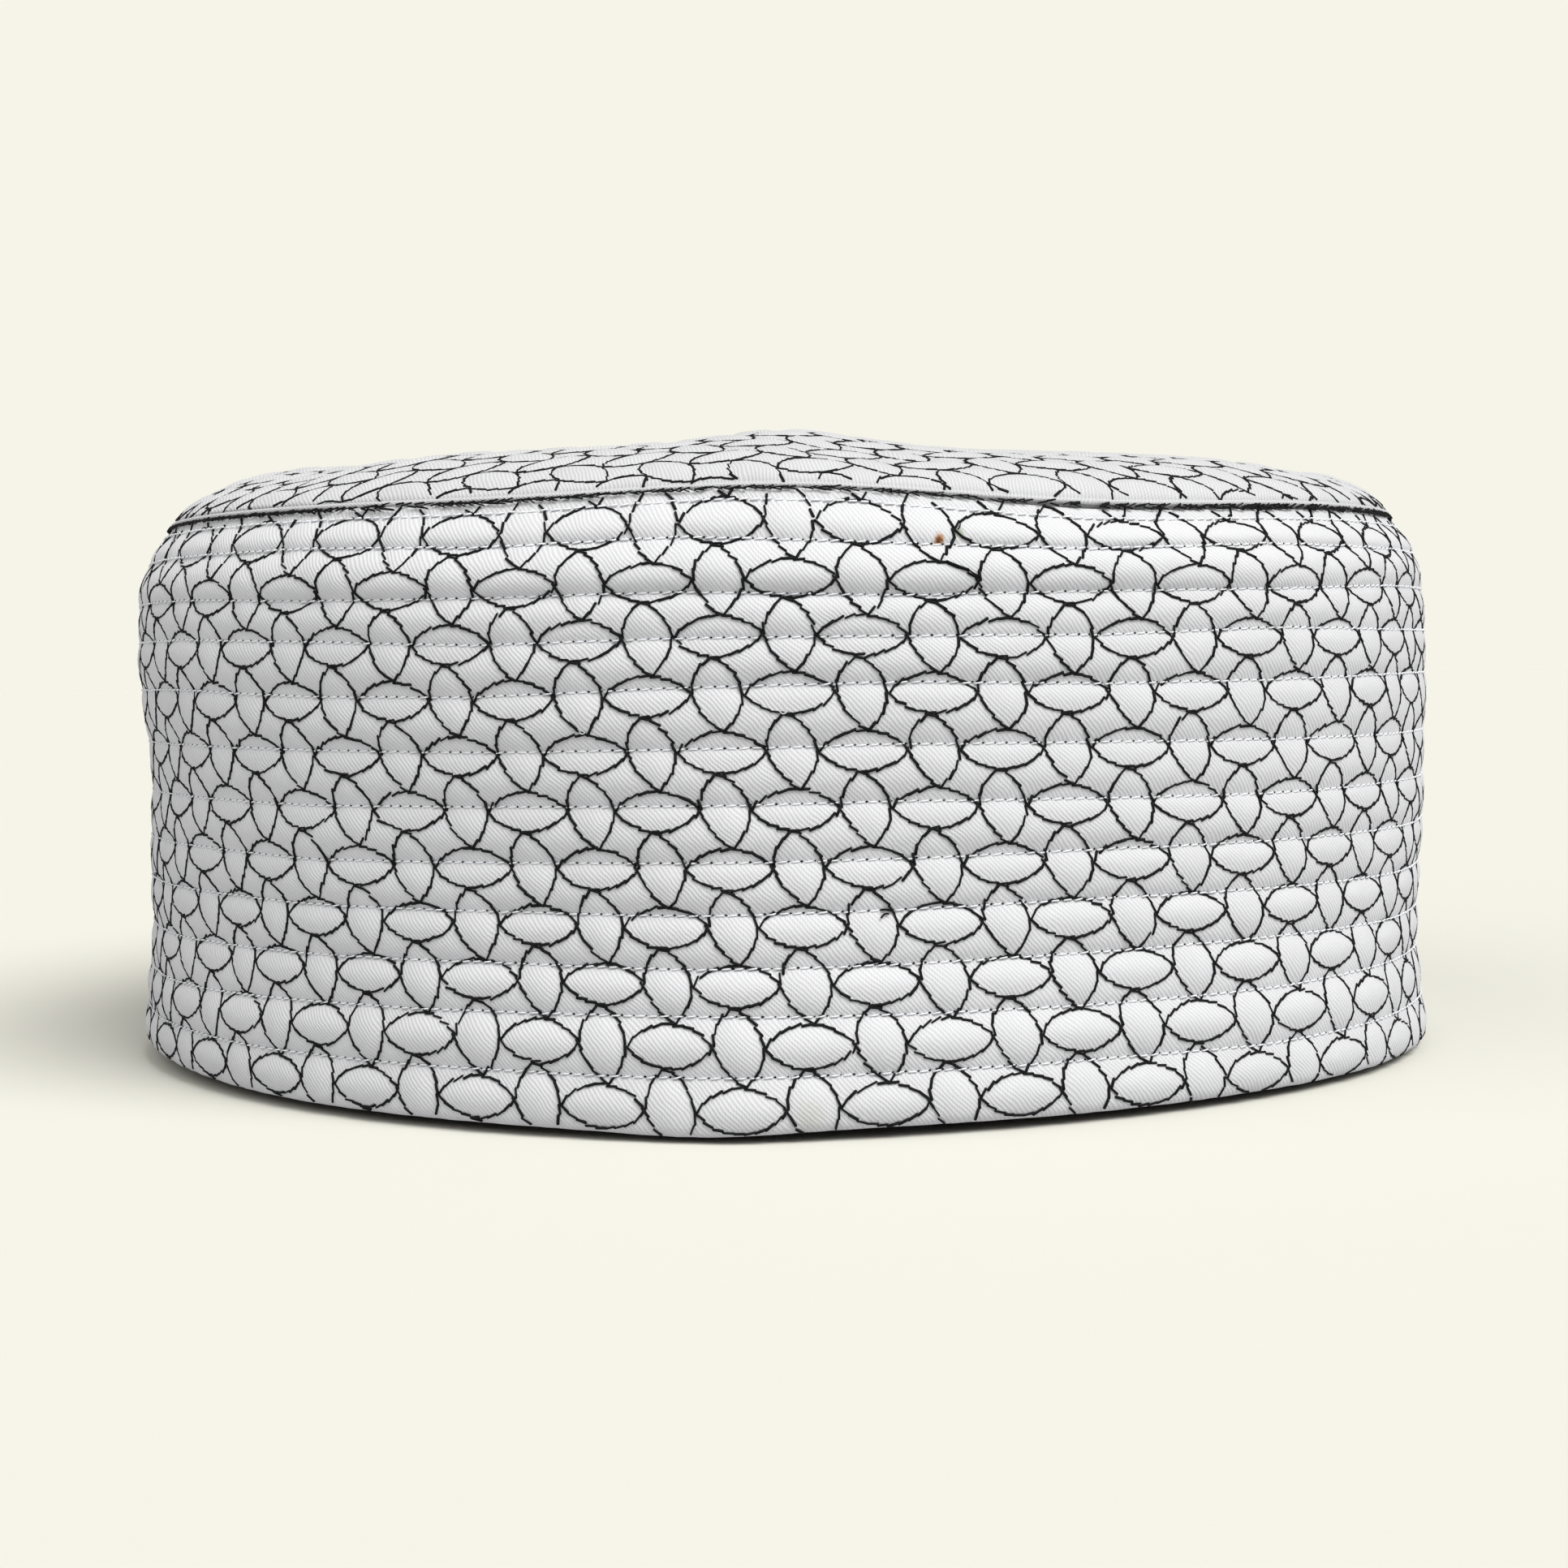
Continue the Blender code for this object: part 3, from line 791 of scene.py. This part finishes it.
def laid_stitches(surface, x, y, heading, lift, reach=0.3):
    """Middle, direction and cloth normal of stitches laid over a surface that is given in pattern places:
    straight from end to end, and raised to the cloth where that bulges between the ends."""
    half_x, half_y = STITCH / 2 * np.cos(heading), STITCH / 2 * np.sin(heading)
    start, end = surface(x - half_x, y - half_y), surface(x + half_x, y + half_y)
    east = surface(x + reach, y) - surface(x - reach, y)
    normal = unit(np.cross(east, surface(x, y + reach) - surface(x, y - reach)))
    along = unit(end - start)
    normal = unit(normal - along * (normal * along).sum(-1, keepdims=True))
    middle = (start + end) / 2
    bulge = np.maximum(((surface(x, y) - middle) * normal).sum(-1, keepdims=True), 0)
    return middle + normal * (bulge + lift * MM), along, normal


def wave_stitches(rows, turns, pitch):
    """Middle and direction of every stitch in the pattern: equal steps along both waves of each row."""
    found = []
    for side in (1, -1):
        x, y = wave_stretch(side)
        travelled = np.concatenate([[0], np.cumsum(np.hypot(np.diff(x), np.diff(y)))])
        count = round(travelled[-1] / pitch)
        ends = np.arange(count + 1) / count * travelled[-1]
        end_x, end_y = np.interp(ends, travelled, x), np.interp(ends, travelled, y)
        at_x, at_y = (end_x[1:] + end_x[:-1]) / 2, (end_y[1:] + end_y[:-1]) / 2
        to_x, to_y = np.diff(end_x), np.diff(end_y)
        row, turn, step = np.meshgrid(rows, turns, np.arange(count), indexing="ij")
        px = (turn - 0.5 * (row % 2)) * REPEAT + at_x[step]
        py = row * ROW_STEP + at_y[step]
        found.append(np.stack([px, py, np.arctan2(to_y, to_x)[step]]).reshape(3, -1))
    return np.concatenate(found, 1)


chance = np.random.default_rng(41)
px, py, heading = wave_stitches(np.arange(-1, 12), np.arange(REPEATS), STITCH)
stitch_h = band_spot(px, py)[1]
shown_ones = (stitch_h > 0.5) & (stitch_h < SEAM_HEIGHT - 0.4)
px, py, heading, stitch_h = (values[shown_ones] for values in (px, py, heading, stitch_h))
heading = heading + STITCH_TURN + chance.normal(0, TURN_STRAY, len(heading))
point, direction, normal = laid_stitches(
    lambda x, y: band_skin(*band_spot(x, y)), px, py, heading, BLACK_LIFT
)
sideways = np.sin(angle_at(band_spot(px, py)[0])) ** 2
point = point - normal * (sideways[:, None] * BLACK_SIDES[1] * MM)
shift = chance.normal(0, LINE_STRAY, (len(heading), 1)) * MM
point = point + np.cross(direction, normal) * shift
stitch_length = STITCH * STITCH_OVERLAP * chance.uniform(*LENGTH_SPREAD, len(heading))
stitch_radius = BLACK_RADIUS * chance.uniform(*RADIUS_SPREAD, len(heading))
stitch_radius = stitch_radius * (1 - BLACK_SIDES[0] * sideways)
black_thread = spun_thread("black_thread", BLACK_LIT_AND_SHADED, 0.7)
for label, low, high in BLACK_PARTS:
    band = (stitch_h >= low) & (stitch_h < high)
    quilting = grains(
        f"black_quilting_{label}",
        *(values[band] for values in (point, direction, normal, stitch_length, stitch_radius)),
        BLACK_GRAIN,
        BLACK_DIP,
    )
    quilting.data.materials.append(black_thread)
    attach(quilting, "root")


# The white topstitching: twelve level rows of lockstitch in white cotton thread, which make the ribs. Each
# stitch lies in the valley between two ribs; at the needle holes between, dark beads stand for the bobbin
# thread that shows there and for the holes' shade, which is painted.
WHITE_STITCH = 1.5
WHITE_GAP = 0.26
WHITE_RADIUS = 0.13
WHITE_LIFT = (0.06, 0.30)  # off the cloth, and off the dip of a black thread that it crosses
WHITE_TILT = 0.12
WHITE_GRAIN = ((-0.36, 0.9, 0.0), (0.36, 0.9, 0.0))
WHITE_DIP = -1.8
# lit colour and shaded colour of the white thread: painted shade between its plies
WHITE_LIT_AND_SHADED = ((0.92, 0.93, 0.95), (0.80, 0.81, 0.83))
HOLE_RADIUS = 0.19
HOLE_LENGTH = 2.4  # in radii
HOLE_PLACE = (0.08, 0.05)  # above the row, and off the cloth
HOLE_GRAIN = ((0.0, 0.9, 0.1),)
HOLE_DIP = -0.3
HOLES_BELOW = 70.5  # the holes of the row under the seam don't show
HOLE_SIDES = 0.6  # share by which they close up at the sides


def cloth_frame(surface, a, b, reach=0.25):
    """Point, direction of a, direction of b and outward normal of a surface, from steps either side."""
    along = surface(a + reach, b) - surface(a - reach, b)
    normal = unit(np.cross(along, surface(a, b + reach) - surface(a, b - reach)))
    along = unit(along)
    return surface(a, b), along, np.cross(normal, along), normal


row_count = round(GIRTH / WHITE_STITCH)
row_arc = plan_arc[0] + (np.arange(row_count) + 0.5) * GIRTH / row_count
white_arc, white_h = np.meshgrid(row_arc, ROW_HEIGHTS)
white_arc = white_arc + chance.uniform(0, WHITE_STITCH, len(ROW_HEIGHTS))[:, None]
white_arc = (white_arc + chance.normal(0, 0.05, white_arc.shape)).ravel()
white_h = (white_h - row_drop(angle_at(white_arc.reshape(white_h.shape)), white_h)).ravel()
point, along, up, normal = cloth_frame(band_skin, white_arc, white_h)
tilt = WHITE_TILT + chance.normal(0, 0.05, (len(white_arc), 1))
white_lift = np.maximum(WHITE_LIFT[0], WHITE_LIFT[1] - puff(*pattern_spot(white_arc, white_h)))
topstitching = grains(
    "white_topstitching",
    point + normal * (white_lift[:, None] * MM),
    along * np.cos(tilt) + up * np.sin(tilt),
    normal,
    WHITE_STITCH - WHITE_GAP + chance.normal(0, 0.04, len(white_arc)),
    WHITE_RADIUS,
    WHITE_GRAIN,
    WHITE_DIP,
    sides=4,
)
white_thread = spun_thread("white_thread", WHITE_LIT_AND_SHADED, 0.55)
topstitching.data.materials.append(white_thread)
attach(topstitching, "root")

# dark beads at the needle holes: the bobbin thread, and painted shade of the holes
marked = white_h < HOLES_BELOW
hole_arc = white_arc[marked] + WHITE_STITCH / 2
hole_point, along, up, normal = cloth_frame(band_skin, hole_arc, white_h[marked])
hole_size = HOLE_RADIUS * chance.uniform(0.6, 1.1, len(hole_arc))
hole_size = hole_size * (1 - HOLE_SIDES * np.sin(angle_at(hole_arc)) ** 2)
needle_hole_thread_and_shade = grains(
    "needle_hole_thread_and_shade",
    hole_point + up * (HOLE_PLACE[0] * MM) + normal * (HOLE_PLACE[1] * MM),
    along,
    normal,
    HOLE_LENGTH * hole_size,
    hole_size,
    HOLE_GRAIN,
    HOLE_DIP,
    sides=4,
)
needle_hole_thread_and_shade.data.materials.append(black_thread)
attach(needle_hole_thread_and_shade, "root")


# Wear on the stitching: three loops of white lint caught on the cloth and the ends of black thread where
# the quilting was sewn over twice, each a short chain of grains along a curl.
# arc, height, turn in degrees, reach, curl in degrees, thread radius
LINT = (
    (0.0, 48.5, 30, 1.5, 210, 0.07),
    (-24.0, 46.6, -50, 1.2, 240, 0.07),
    (-43.0, 30.5, 80, 1.0, 180, 0.06),
)
THREAD_ENDS = (
    (20.2, 65.0, -20, 2.6, 12, 0.12),
    (22.0, 64.2, -30, 1.6, 20, 0.11),
    (11.5, 25.5, 160, 1.6, 50, 0.14),
    (11.0, 24.9, 200, 1.1, 90, 0.12),
    (21.2, 69.5, 60, 0.9, 80, 0.08),
)
CURL_GRAINS = 9
CURL_OVERLAP = 1.5  # length of a grain over the distance between two
CURL_LIFT = 0.3  # off the cloth


def curls(name, places, material):
    """Loose ends: each a chain of grains along an arc of a circle of the given reach, laid on the band."""
    arc, height, turn, reach, curl, radius = np.array(places).T[:, :, None]
    step = (np.arange(CURL_GRAINS) + 0.5) / CURL_GRAINS - 0.5
    heading = np.radians(turn + curl * step)
    out = reach / np.radians(curl)
    x = arc + out * (np.sin(heading) - np.sin(np.radians(turn)))
    y = height - out * (np.cos(heading) - np.cos(np.radians(turn)))
    point, along, up, normal = cloth_frame(band_skin, x.ravel(), y.ravel())
    heading = heading.reshape(-1, 1)
    chain = grains(
        name,
        point + normal * (CURL_LIFT * MM),
        along * np.cos(heading) + up * np.sin(heading),
        normal,
        np.repeat(reach.ravel() / CURL_GRAINS * CURL_OVERLAP, CURL_GRAINS),
        np.repeat(radius.ravel(), CURL_GRAINS),
        BLACK_GRAIN,
        0.0,
    )
    chain.data.materials.append(material)
    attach(chain, "root")


curls("lint", LINT, white_thread)
curls("thread_ends", THREAD_ENDS, black_thread)


# The crown: a round of the same quilted twill, its pattern turned on the bias, domed by the padding and
# creased where the cap folds flat. Its edge is turned over and sewn into the band's top as a rolled lip.
CROWN_WALL = 2.4
EDGE_RISE = 6.4
TOP_RISE = 3.8
EDGE_POWER = 5
RIDGE_HEIGHT = 1.7
RIDGE_HALF_WIDTH = 12.0
# x, y, reach, rise
CROWN_SWELLS = (
    (-70, -20, 20, 2.2),
    (-24, -58, 15, 1.0),
    (-44, -54, 14, 0.7),
    (6, -77, 15, -1.4),
    (86, -14, 15, 2.2),
    (-84, -14, 10, 0.5),
)
SEWN_GAP = 0.3
LIP_ROUND = (0.40, 0.16)  # radius of the rolled lip at the sides, and how much smaller it is at the front
CROWN_TURN = math.radians(23.8)  # of the quilting
CROWN_LENS = (10.7, 1.3)  # a lying lens's middle
CROWN_LEAN = -0.093
CROWN_PULL = (0.966, 1.139)  # the crown's quilting is this much narrower and taller than the band's
CROWN_THREAD = 0.17  # the crown's thread lies deeper in the cloth, so that less of it shows
CROWN_LIFT = -0.01
CROWN_PUFF = 1.5  # the crown is puffed up this many times as much as the band
CROWN_SPREAD = (0.7, 1.2)  # shares of the radius
# for each sine: size, waves round the band's length, turn with height, start
WANDER_ASIDE = ((0.20, 13, 0.21, 0.0), (0.12, 32, -0.34, 1.0), (0.08, 58, 0.83, 2.0))
WANDER_UP = ((0.10, 17, 0.45, 0.0), (0.08, 41, -0.9, 4.0))
CROWN_COLUMNS = 560
CROWN_MEAN_RADIUS = 88.3
PATTERN_EDGE = 89.2  # the quilting stops here, short of the lip
# the crown's twill colours are the band's painted darker: painted shade that tones down the crown's top,
# which faces the light; as on the band, the crest is painted lighter and the valley darker
CROWN_SHADED_CREST = (0.685, 0.685, 0.69)
CROWN_SHADED_VALLEY = (0.545, 0.545, 0.55)
UNDER_REACHES = (84.0, 78, 70, 61, 51, 41, 31, 22, 14, 7, 2.5)
LIP_ANGLES = (-60, -35, -10, 15, 40, 65, 90, 115)  # degrees up from level round the lip
LIP_IN = 0.15  # how far its middle lies inside the rim
LIP_FRONT = (-4, 26)  # angle of its thinnest place, and half width


def dome(share):
    """Dome's rise above its rim at a share s of its radius: a (1 - s^p)^0.5 + b (1 - s^2)."""
    return EDGE_RISE * np.sqrt(1 - share**EDGE_POWER) + TOP_RISE * (1 - share**2)


dome_share = 1 - (1 - np.linspace(0, 1, 400)) ** 2
dome_steps = np.hypot(np.diff(dome_share) * CROWN_MEAN_RADIUS, np.diff(dome(dome_share)))
dome_reach = np.concatenate([[0], np.cumsum(dome_steps)])
rim_radius = plan_radius(plan_turn, SEAM_HEIGHT) - SEWN_GAP * math.sin(SEAM_LEAN)
rim_height = raised(plan_turn, SEAM_HEIGHT) + SEWN_GAP * math.cos(SEAM_LEAN)


def rim_at(theta):
    """Radius and height of the line where crown and band meet."""
    return np.interp(theta, plan_turn, rim_radius), np.interp(theta, plan_turn, rim_height)


def crown_relief(x, y, share):
    """Fold line from front to back and swells: bell curves that fade at the rim."""
    relief = RIDGE_HEIGHT * np.exp(-((x / RIDGE_HALF_WIDTH) ** 2))
    for at_x, at_y, reach, rise in CROWN_SWELLS:
        relief = relief + rise * np.exp(-((x - at_x) ** 2 + (y - at_y) ** 2) / reach**2)
    return relief * (1 - share**24)


def wander(x, y):
    """Small slow drift of the pattern on the cloth, aside and up: a sum of sines for each."""
    turn = 2 * np.pi * x / GIRTH
    return [
        sum(size * np.sin(waves * turn + climb * y + start) for size, waves, climb, start in sines)
        for sines in (WANDER_ASIDE, WANDER_UP)
    ]


def pattern_place(a, b):
    """Place in the quilting pattern of a place on the crown's flat cloth: shifted, turned back, and its
    lean and its pull taken out."""
    a, b = a - CROWN_LENS[0], b - CROWN_LENS[1]
    x = a * math.cos(CROWN_TURN) + b * math.sin(CROWN_TURN)
    y = b * math.cos(CROWN_TURN) - a * math.sin(CROWN_TURN)
    return (x - CROWN_LEAN * y) / CROWN_PULL[0], y / CROWN_PULL[1]


def crown_place(x, y):
    """Place on the crown's flat cloth of a place in the quilting pattern, the other way round."""
    aside, higher = wander(x, y)
    y = (y + higher) * CROWN_PULL[1]
    x = (x + aside) * CROWN_PULL[0] + CROWN_LEAN * y
    a = x * math.cos(CROWN_TURN) - y * math.sin(CROWN_TURN) + CROWN_LENS[0]
    return a, x * math.sin(CROWN_TURN) + y * math.cos(CROWN_TURN) + CROWN_LENS[1]


def crown_skin(a, b, quilted=True):
    """Outside of the crown at a place on its flat cloth: its distance from the middle runs up the dome."""
    reach, theta = np.hypot(a, b), np.arctan2(a, -b)
    share = np.interp(reach, dome_reach, dome_share)
    around, rim = rim_at(theta)
    radius = share * around
    x, y = radius * np.sin(theta), -radius * np.cos(theta)
    top = SEAM_HEIGHT + EDGE_RISE + TOP_RISE
    height = rim + (top - rim) * dome(share) / (EDGE_RISE + TOP_RISE) + crown_relief(x, y, share)
    if quilted:
        px, py = pattern_place(a, b)
        aside, higher = wander(px, py)
        puffed = CROWN_PUFF * puff(px - aside, py - higher)
        height = height + puffed * smooth_step((PATTERN_EDGE + 0.5 - reach) / 2)
        height = height + 0.35 * np.sin(a / 9 + 1) * np.sin(b / 11) * smooth_step((84 - reach) / 10)
    return cap_point(theta, radius, height)


reaches = np.concatenate([np.linspace(1.0, 80, 78), np.linspace(80.8, PATTERN_EDGE + 0.2, 13)])
crown_turn = np.linspace(-np.pi, np.pi, CROWN_COLUMNS, endpoint=False)
grid_r, grid_t = np.meshgrid(reaches[::-1], crown_turn, indexing="ij")
domed = crown_skin(grid_r * np.sin(grid_t), -grid_r * np.cos(grid_t))
edge_r, edge_h = rim_at(crown_turn)
lip_turn = np.radians(np.array(LIP_ANGLES))[:, None]
lip_round = LIP_ROUND[0] - LIP_ROUND[1] * bell(crown_turn, *LIP_FRONT)
lip_r = edge_r - LIP_IN + lip_round * np.cos(lip_turn)
lip_h = edge_h + lip_round + lip_round * np.sin(lip_turn)
lip = cap_point(crown_turn, lip_r, lip_h)
under_r, under_t = np.meshgrid(UNDER_REACHES, crown_turn, indexing="ij")
under = crown_skin(under_r * np.sin(under_t), -under_r * np.cos(under_t), quilted=False)
under[..., 2] -= CROWN_WALL * MM
tuck_r, tuck_h = CROWN_WALL * math.cos(SEAM_LEAN), CROWN_WALL * math.sin(SEAM_LEAN)
tucked = cap_point(crown_turn, edge_r - tuck_r, edge_h - tuck_h)
crown_grid = np.concatenate([under[::-1], tucked[None], lip, domed]).reshape(-1, 3)
crown_rings = len(crown_grid) // CROWN_COLUMNS
middle = np.zeros(1)
middle_under = crown_skin(middle, middle, quilted=False) - np.array([0, 0, CROWN_WALL * MM])
crown_points = np.concatenate([crown_grid, crown_skin(middle, middle), middle_under])
step = np.arange(CROWN_COLUMNS)
after = (step + 1) % CROWN_COLUMNS
last_ring = (crown_rings - 1) * CROWN_COLUMNS
top_fan = fan(last_ring + step, last_ring + after, len(crown_grid))
crown_fans = np.concatenate([top_fan, fan(after, step, len(crown_grid) + 1)])
crown_faces = closed_rings(crown_rings, CROWN_COLUMNS)
# where each ring lies on the cloth: the underside's are carried on past the edge, out of the way
lip_reach = 91.5 - 0.33 * np.arange(len(lip_turn))
flat_reach = np.concatenate([np.array(UNDER_REACHES)[::-1] + 200, [290], lip_reach, reaches[::-1]])
flat_r, flat_t = np.meshgrid(flat_reach, crown_turn, indexing="ij")
flat = np.stack([flat_r * np.sin(flat_t), -flat_r * np.cos(flat_t)], -1).reshape(-1, 2)
flat = np.concatenate([flat, [[0, 0], [0, 0]]])
crown_map = np.concatenate([flat[faces].reshape(-1, 2) for faces in (crown_faces, crown_fans)])
crown = make_mesh("quilted_crown", crown_points, [crown_faces, crown_fans], {"cloth": crown_map})
# crown_twill is a darker copy of the band's twill, with painted shade
crown_twill = white_twill("crown_twill", math.radians(80), CROWN_SHADED_CREST, CROWN_SHADED_VALLEY)
crown.data.materials.append(crown_twill)
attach(crown, "root")
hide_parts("crown")


# The crown's black wave quilting, in the same thread and stitch as the band's.
px, py, heading = wave_stitches(np.arange(-15, 16), np.arange(-7, 8), STITCH)
on_crown = np.hypot(*crown_place(px, py)) < PATTERN_EDGE
px, py, heading = px[on_crown], py[on_crown], heading[on_crown]
heading = heading + STITCH_TURN + chance.normal(0, TURN_STRAY, len(heading))
point, direction, normal = laid_stitches(
    lambda x, y: crown_skin(*crown_place(x, y)), px, py, heading, CROWN_LIFT
)
crown_quilting = grains(
    "black_quilting_crown",
    point,
    direction,
    normal,
    STITCH * STITCH_OVERLAP * chance.uniform(*LENGTH_SPREAD, len(heading)),
    CROWN_THREAD * chance.uniform(*CROWN_SPREAD, len(heading)),
    BLACK_GRAIN,
    BLACK_DIP,
)
crown_quilting.data.materials.append(black_thread)
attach(crown_quilting, "root")


# The overcast seam that joins crown and band: fine black thread sewn over the edge again and again, in
# three uneven lines of slanting stitches, crowded into one cord at the sides and apart at the front.
OVERCAST_PITCH = 1.05
OVERCAST_LENGTH = 1.5
OVERCAST_SLANT = 0.26
OVERCAST_ANGLES = (-120, -88, -78, -50, -38, -32, -26, -12, 8, 22, 35, 60, 78, 88, 120)
# at each of those angles: distance between two lines, thread radius, share of the middle line's stitches
# that are there, how far the lines lie below the edge
OVERCAST_CHART = (
    (0.10, 0.03, 0.06, 0.06, 0.10, 0.30, 0.14, 0.10, 0.14, 0.18, 0.20, 0.20, 0.08, 0.02, 0.10),
    (0.11, 0.05, 0.11, 0.14, 0.12, 0.11, 0.10, 0.09, 0.09, 0.10, 0.12, 0.13, 0.09, 0.04, 0.11),
    (0.6, 0.1, 0.9, 0.8, 0.4, 0.1, 0.3, 0.1, 0.1, 0.3, 0.8, 1.0, 0.8, 0.1, 0.6),
    (0.30, 0.24, 0.30, 0.30, 0.32, 0.40, 0.36, 0.34, 0.36, 0.34, 0.30, 0.24, 0.20, 0.18, 0.30),
)
OVERCAST_DIP = -1.2
SEAM_FACE = math.radians(38)  # the way the seam looks, up from level

cast_count = round(GIRTH / OVERCAST_PITCH)
cast_arc, line = np.meshgrid(
    plan_arc[0] + np.arange(cast_count) * GIRTH / cast_count, np.array([-1, 0, 1]), indexing="ij"
)
cast_arc = (cast_arc + chance.uniform(-0.3, 0.3, cast_arc.shape)).ravel()
line = line.ravel()
theta = angle_at(cast_arc)
apart, thick, crowding, drop = (
    np.interp(from_angle(theta, 0), OVERCAST_ANGLES, chart) for chart in OVERCAST_CHART
)
crowding = crowding * (0.8 + 0.2 * np.sin(17 * theta))
sparse = 0.75 + 0.3 * np.sin(9 * theta + 1.3) * np.sin(4 * theta)
kept = chance.uniform(0, 1, len(line)) < np.where(line == 0, crowding, sparse)
theta, line, apart, thick, drop = (values[kept] for values in (theta, line, apart, thick, drop))


def seam_point(theta, out, up):
    """A point off the line where crown and band meet, out along the way the seam looks and up across it."""
    out_r = out * math.cos(SEAM_FACE) - up * math.sin(SEAM_FACE)
    out_z = out * math.sin(SEAM_FACE) + up * math.cos(SEAM_FACE)
    radius, height = rim_at(theta)
    return cap_point(theta, radius + out_r, height + out_z)


apart = apart * (1 + 0.4 * np.sin(29 * theta) * np.sin(11 * theta + 1))
across = line * apart + chance.normal(0, 0.4, len(theta)) * apart - drop
out = 0.34 + 0.08 * (line == 0) + chance.normal(0, 0.03, len(theta))
seam_centre = seam_point(theta, out, across)
along = seam_point(theta + 0.004, out, across) - seam_point(theta - 0.004, out, across)
along = unit(along)
level_out = math.cos(SEAM_FACE)
normal = [np.sin(theta) * level_out, -np.cos(theta) * level_out]
normal = np.stack([*normal, np.full_like(theta, math.sin(SEAM_FACE))], -1)
up = np.cross(normal, along)
slant = OVERCAST_SLANT * np.where(line < 0, -1, 1) + chance.normal(0, 0.10, len(theta))
overcast = grains(
    "black_overcast_seam",
    seam_centre,
    along * np.cos(slant)[:, None] + up * np.sin(slant)[:, None],
    normal,
    OVERCAST_LENGTH * chance.uniform(0.8, 1.15, len(theta)),
    thick * chance.uniform(0.7, 1.3, len(theta)),
    BLACK_GRAIN,
    OVERCAST_DIP,
    sides=4,
)
overcast.data.materials.append(black_thread)
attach(overcast, "root")
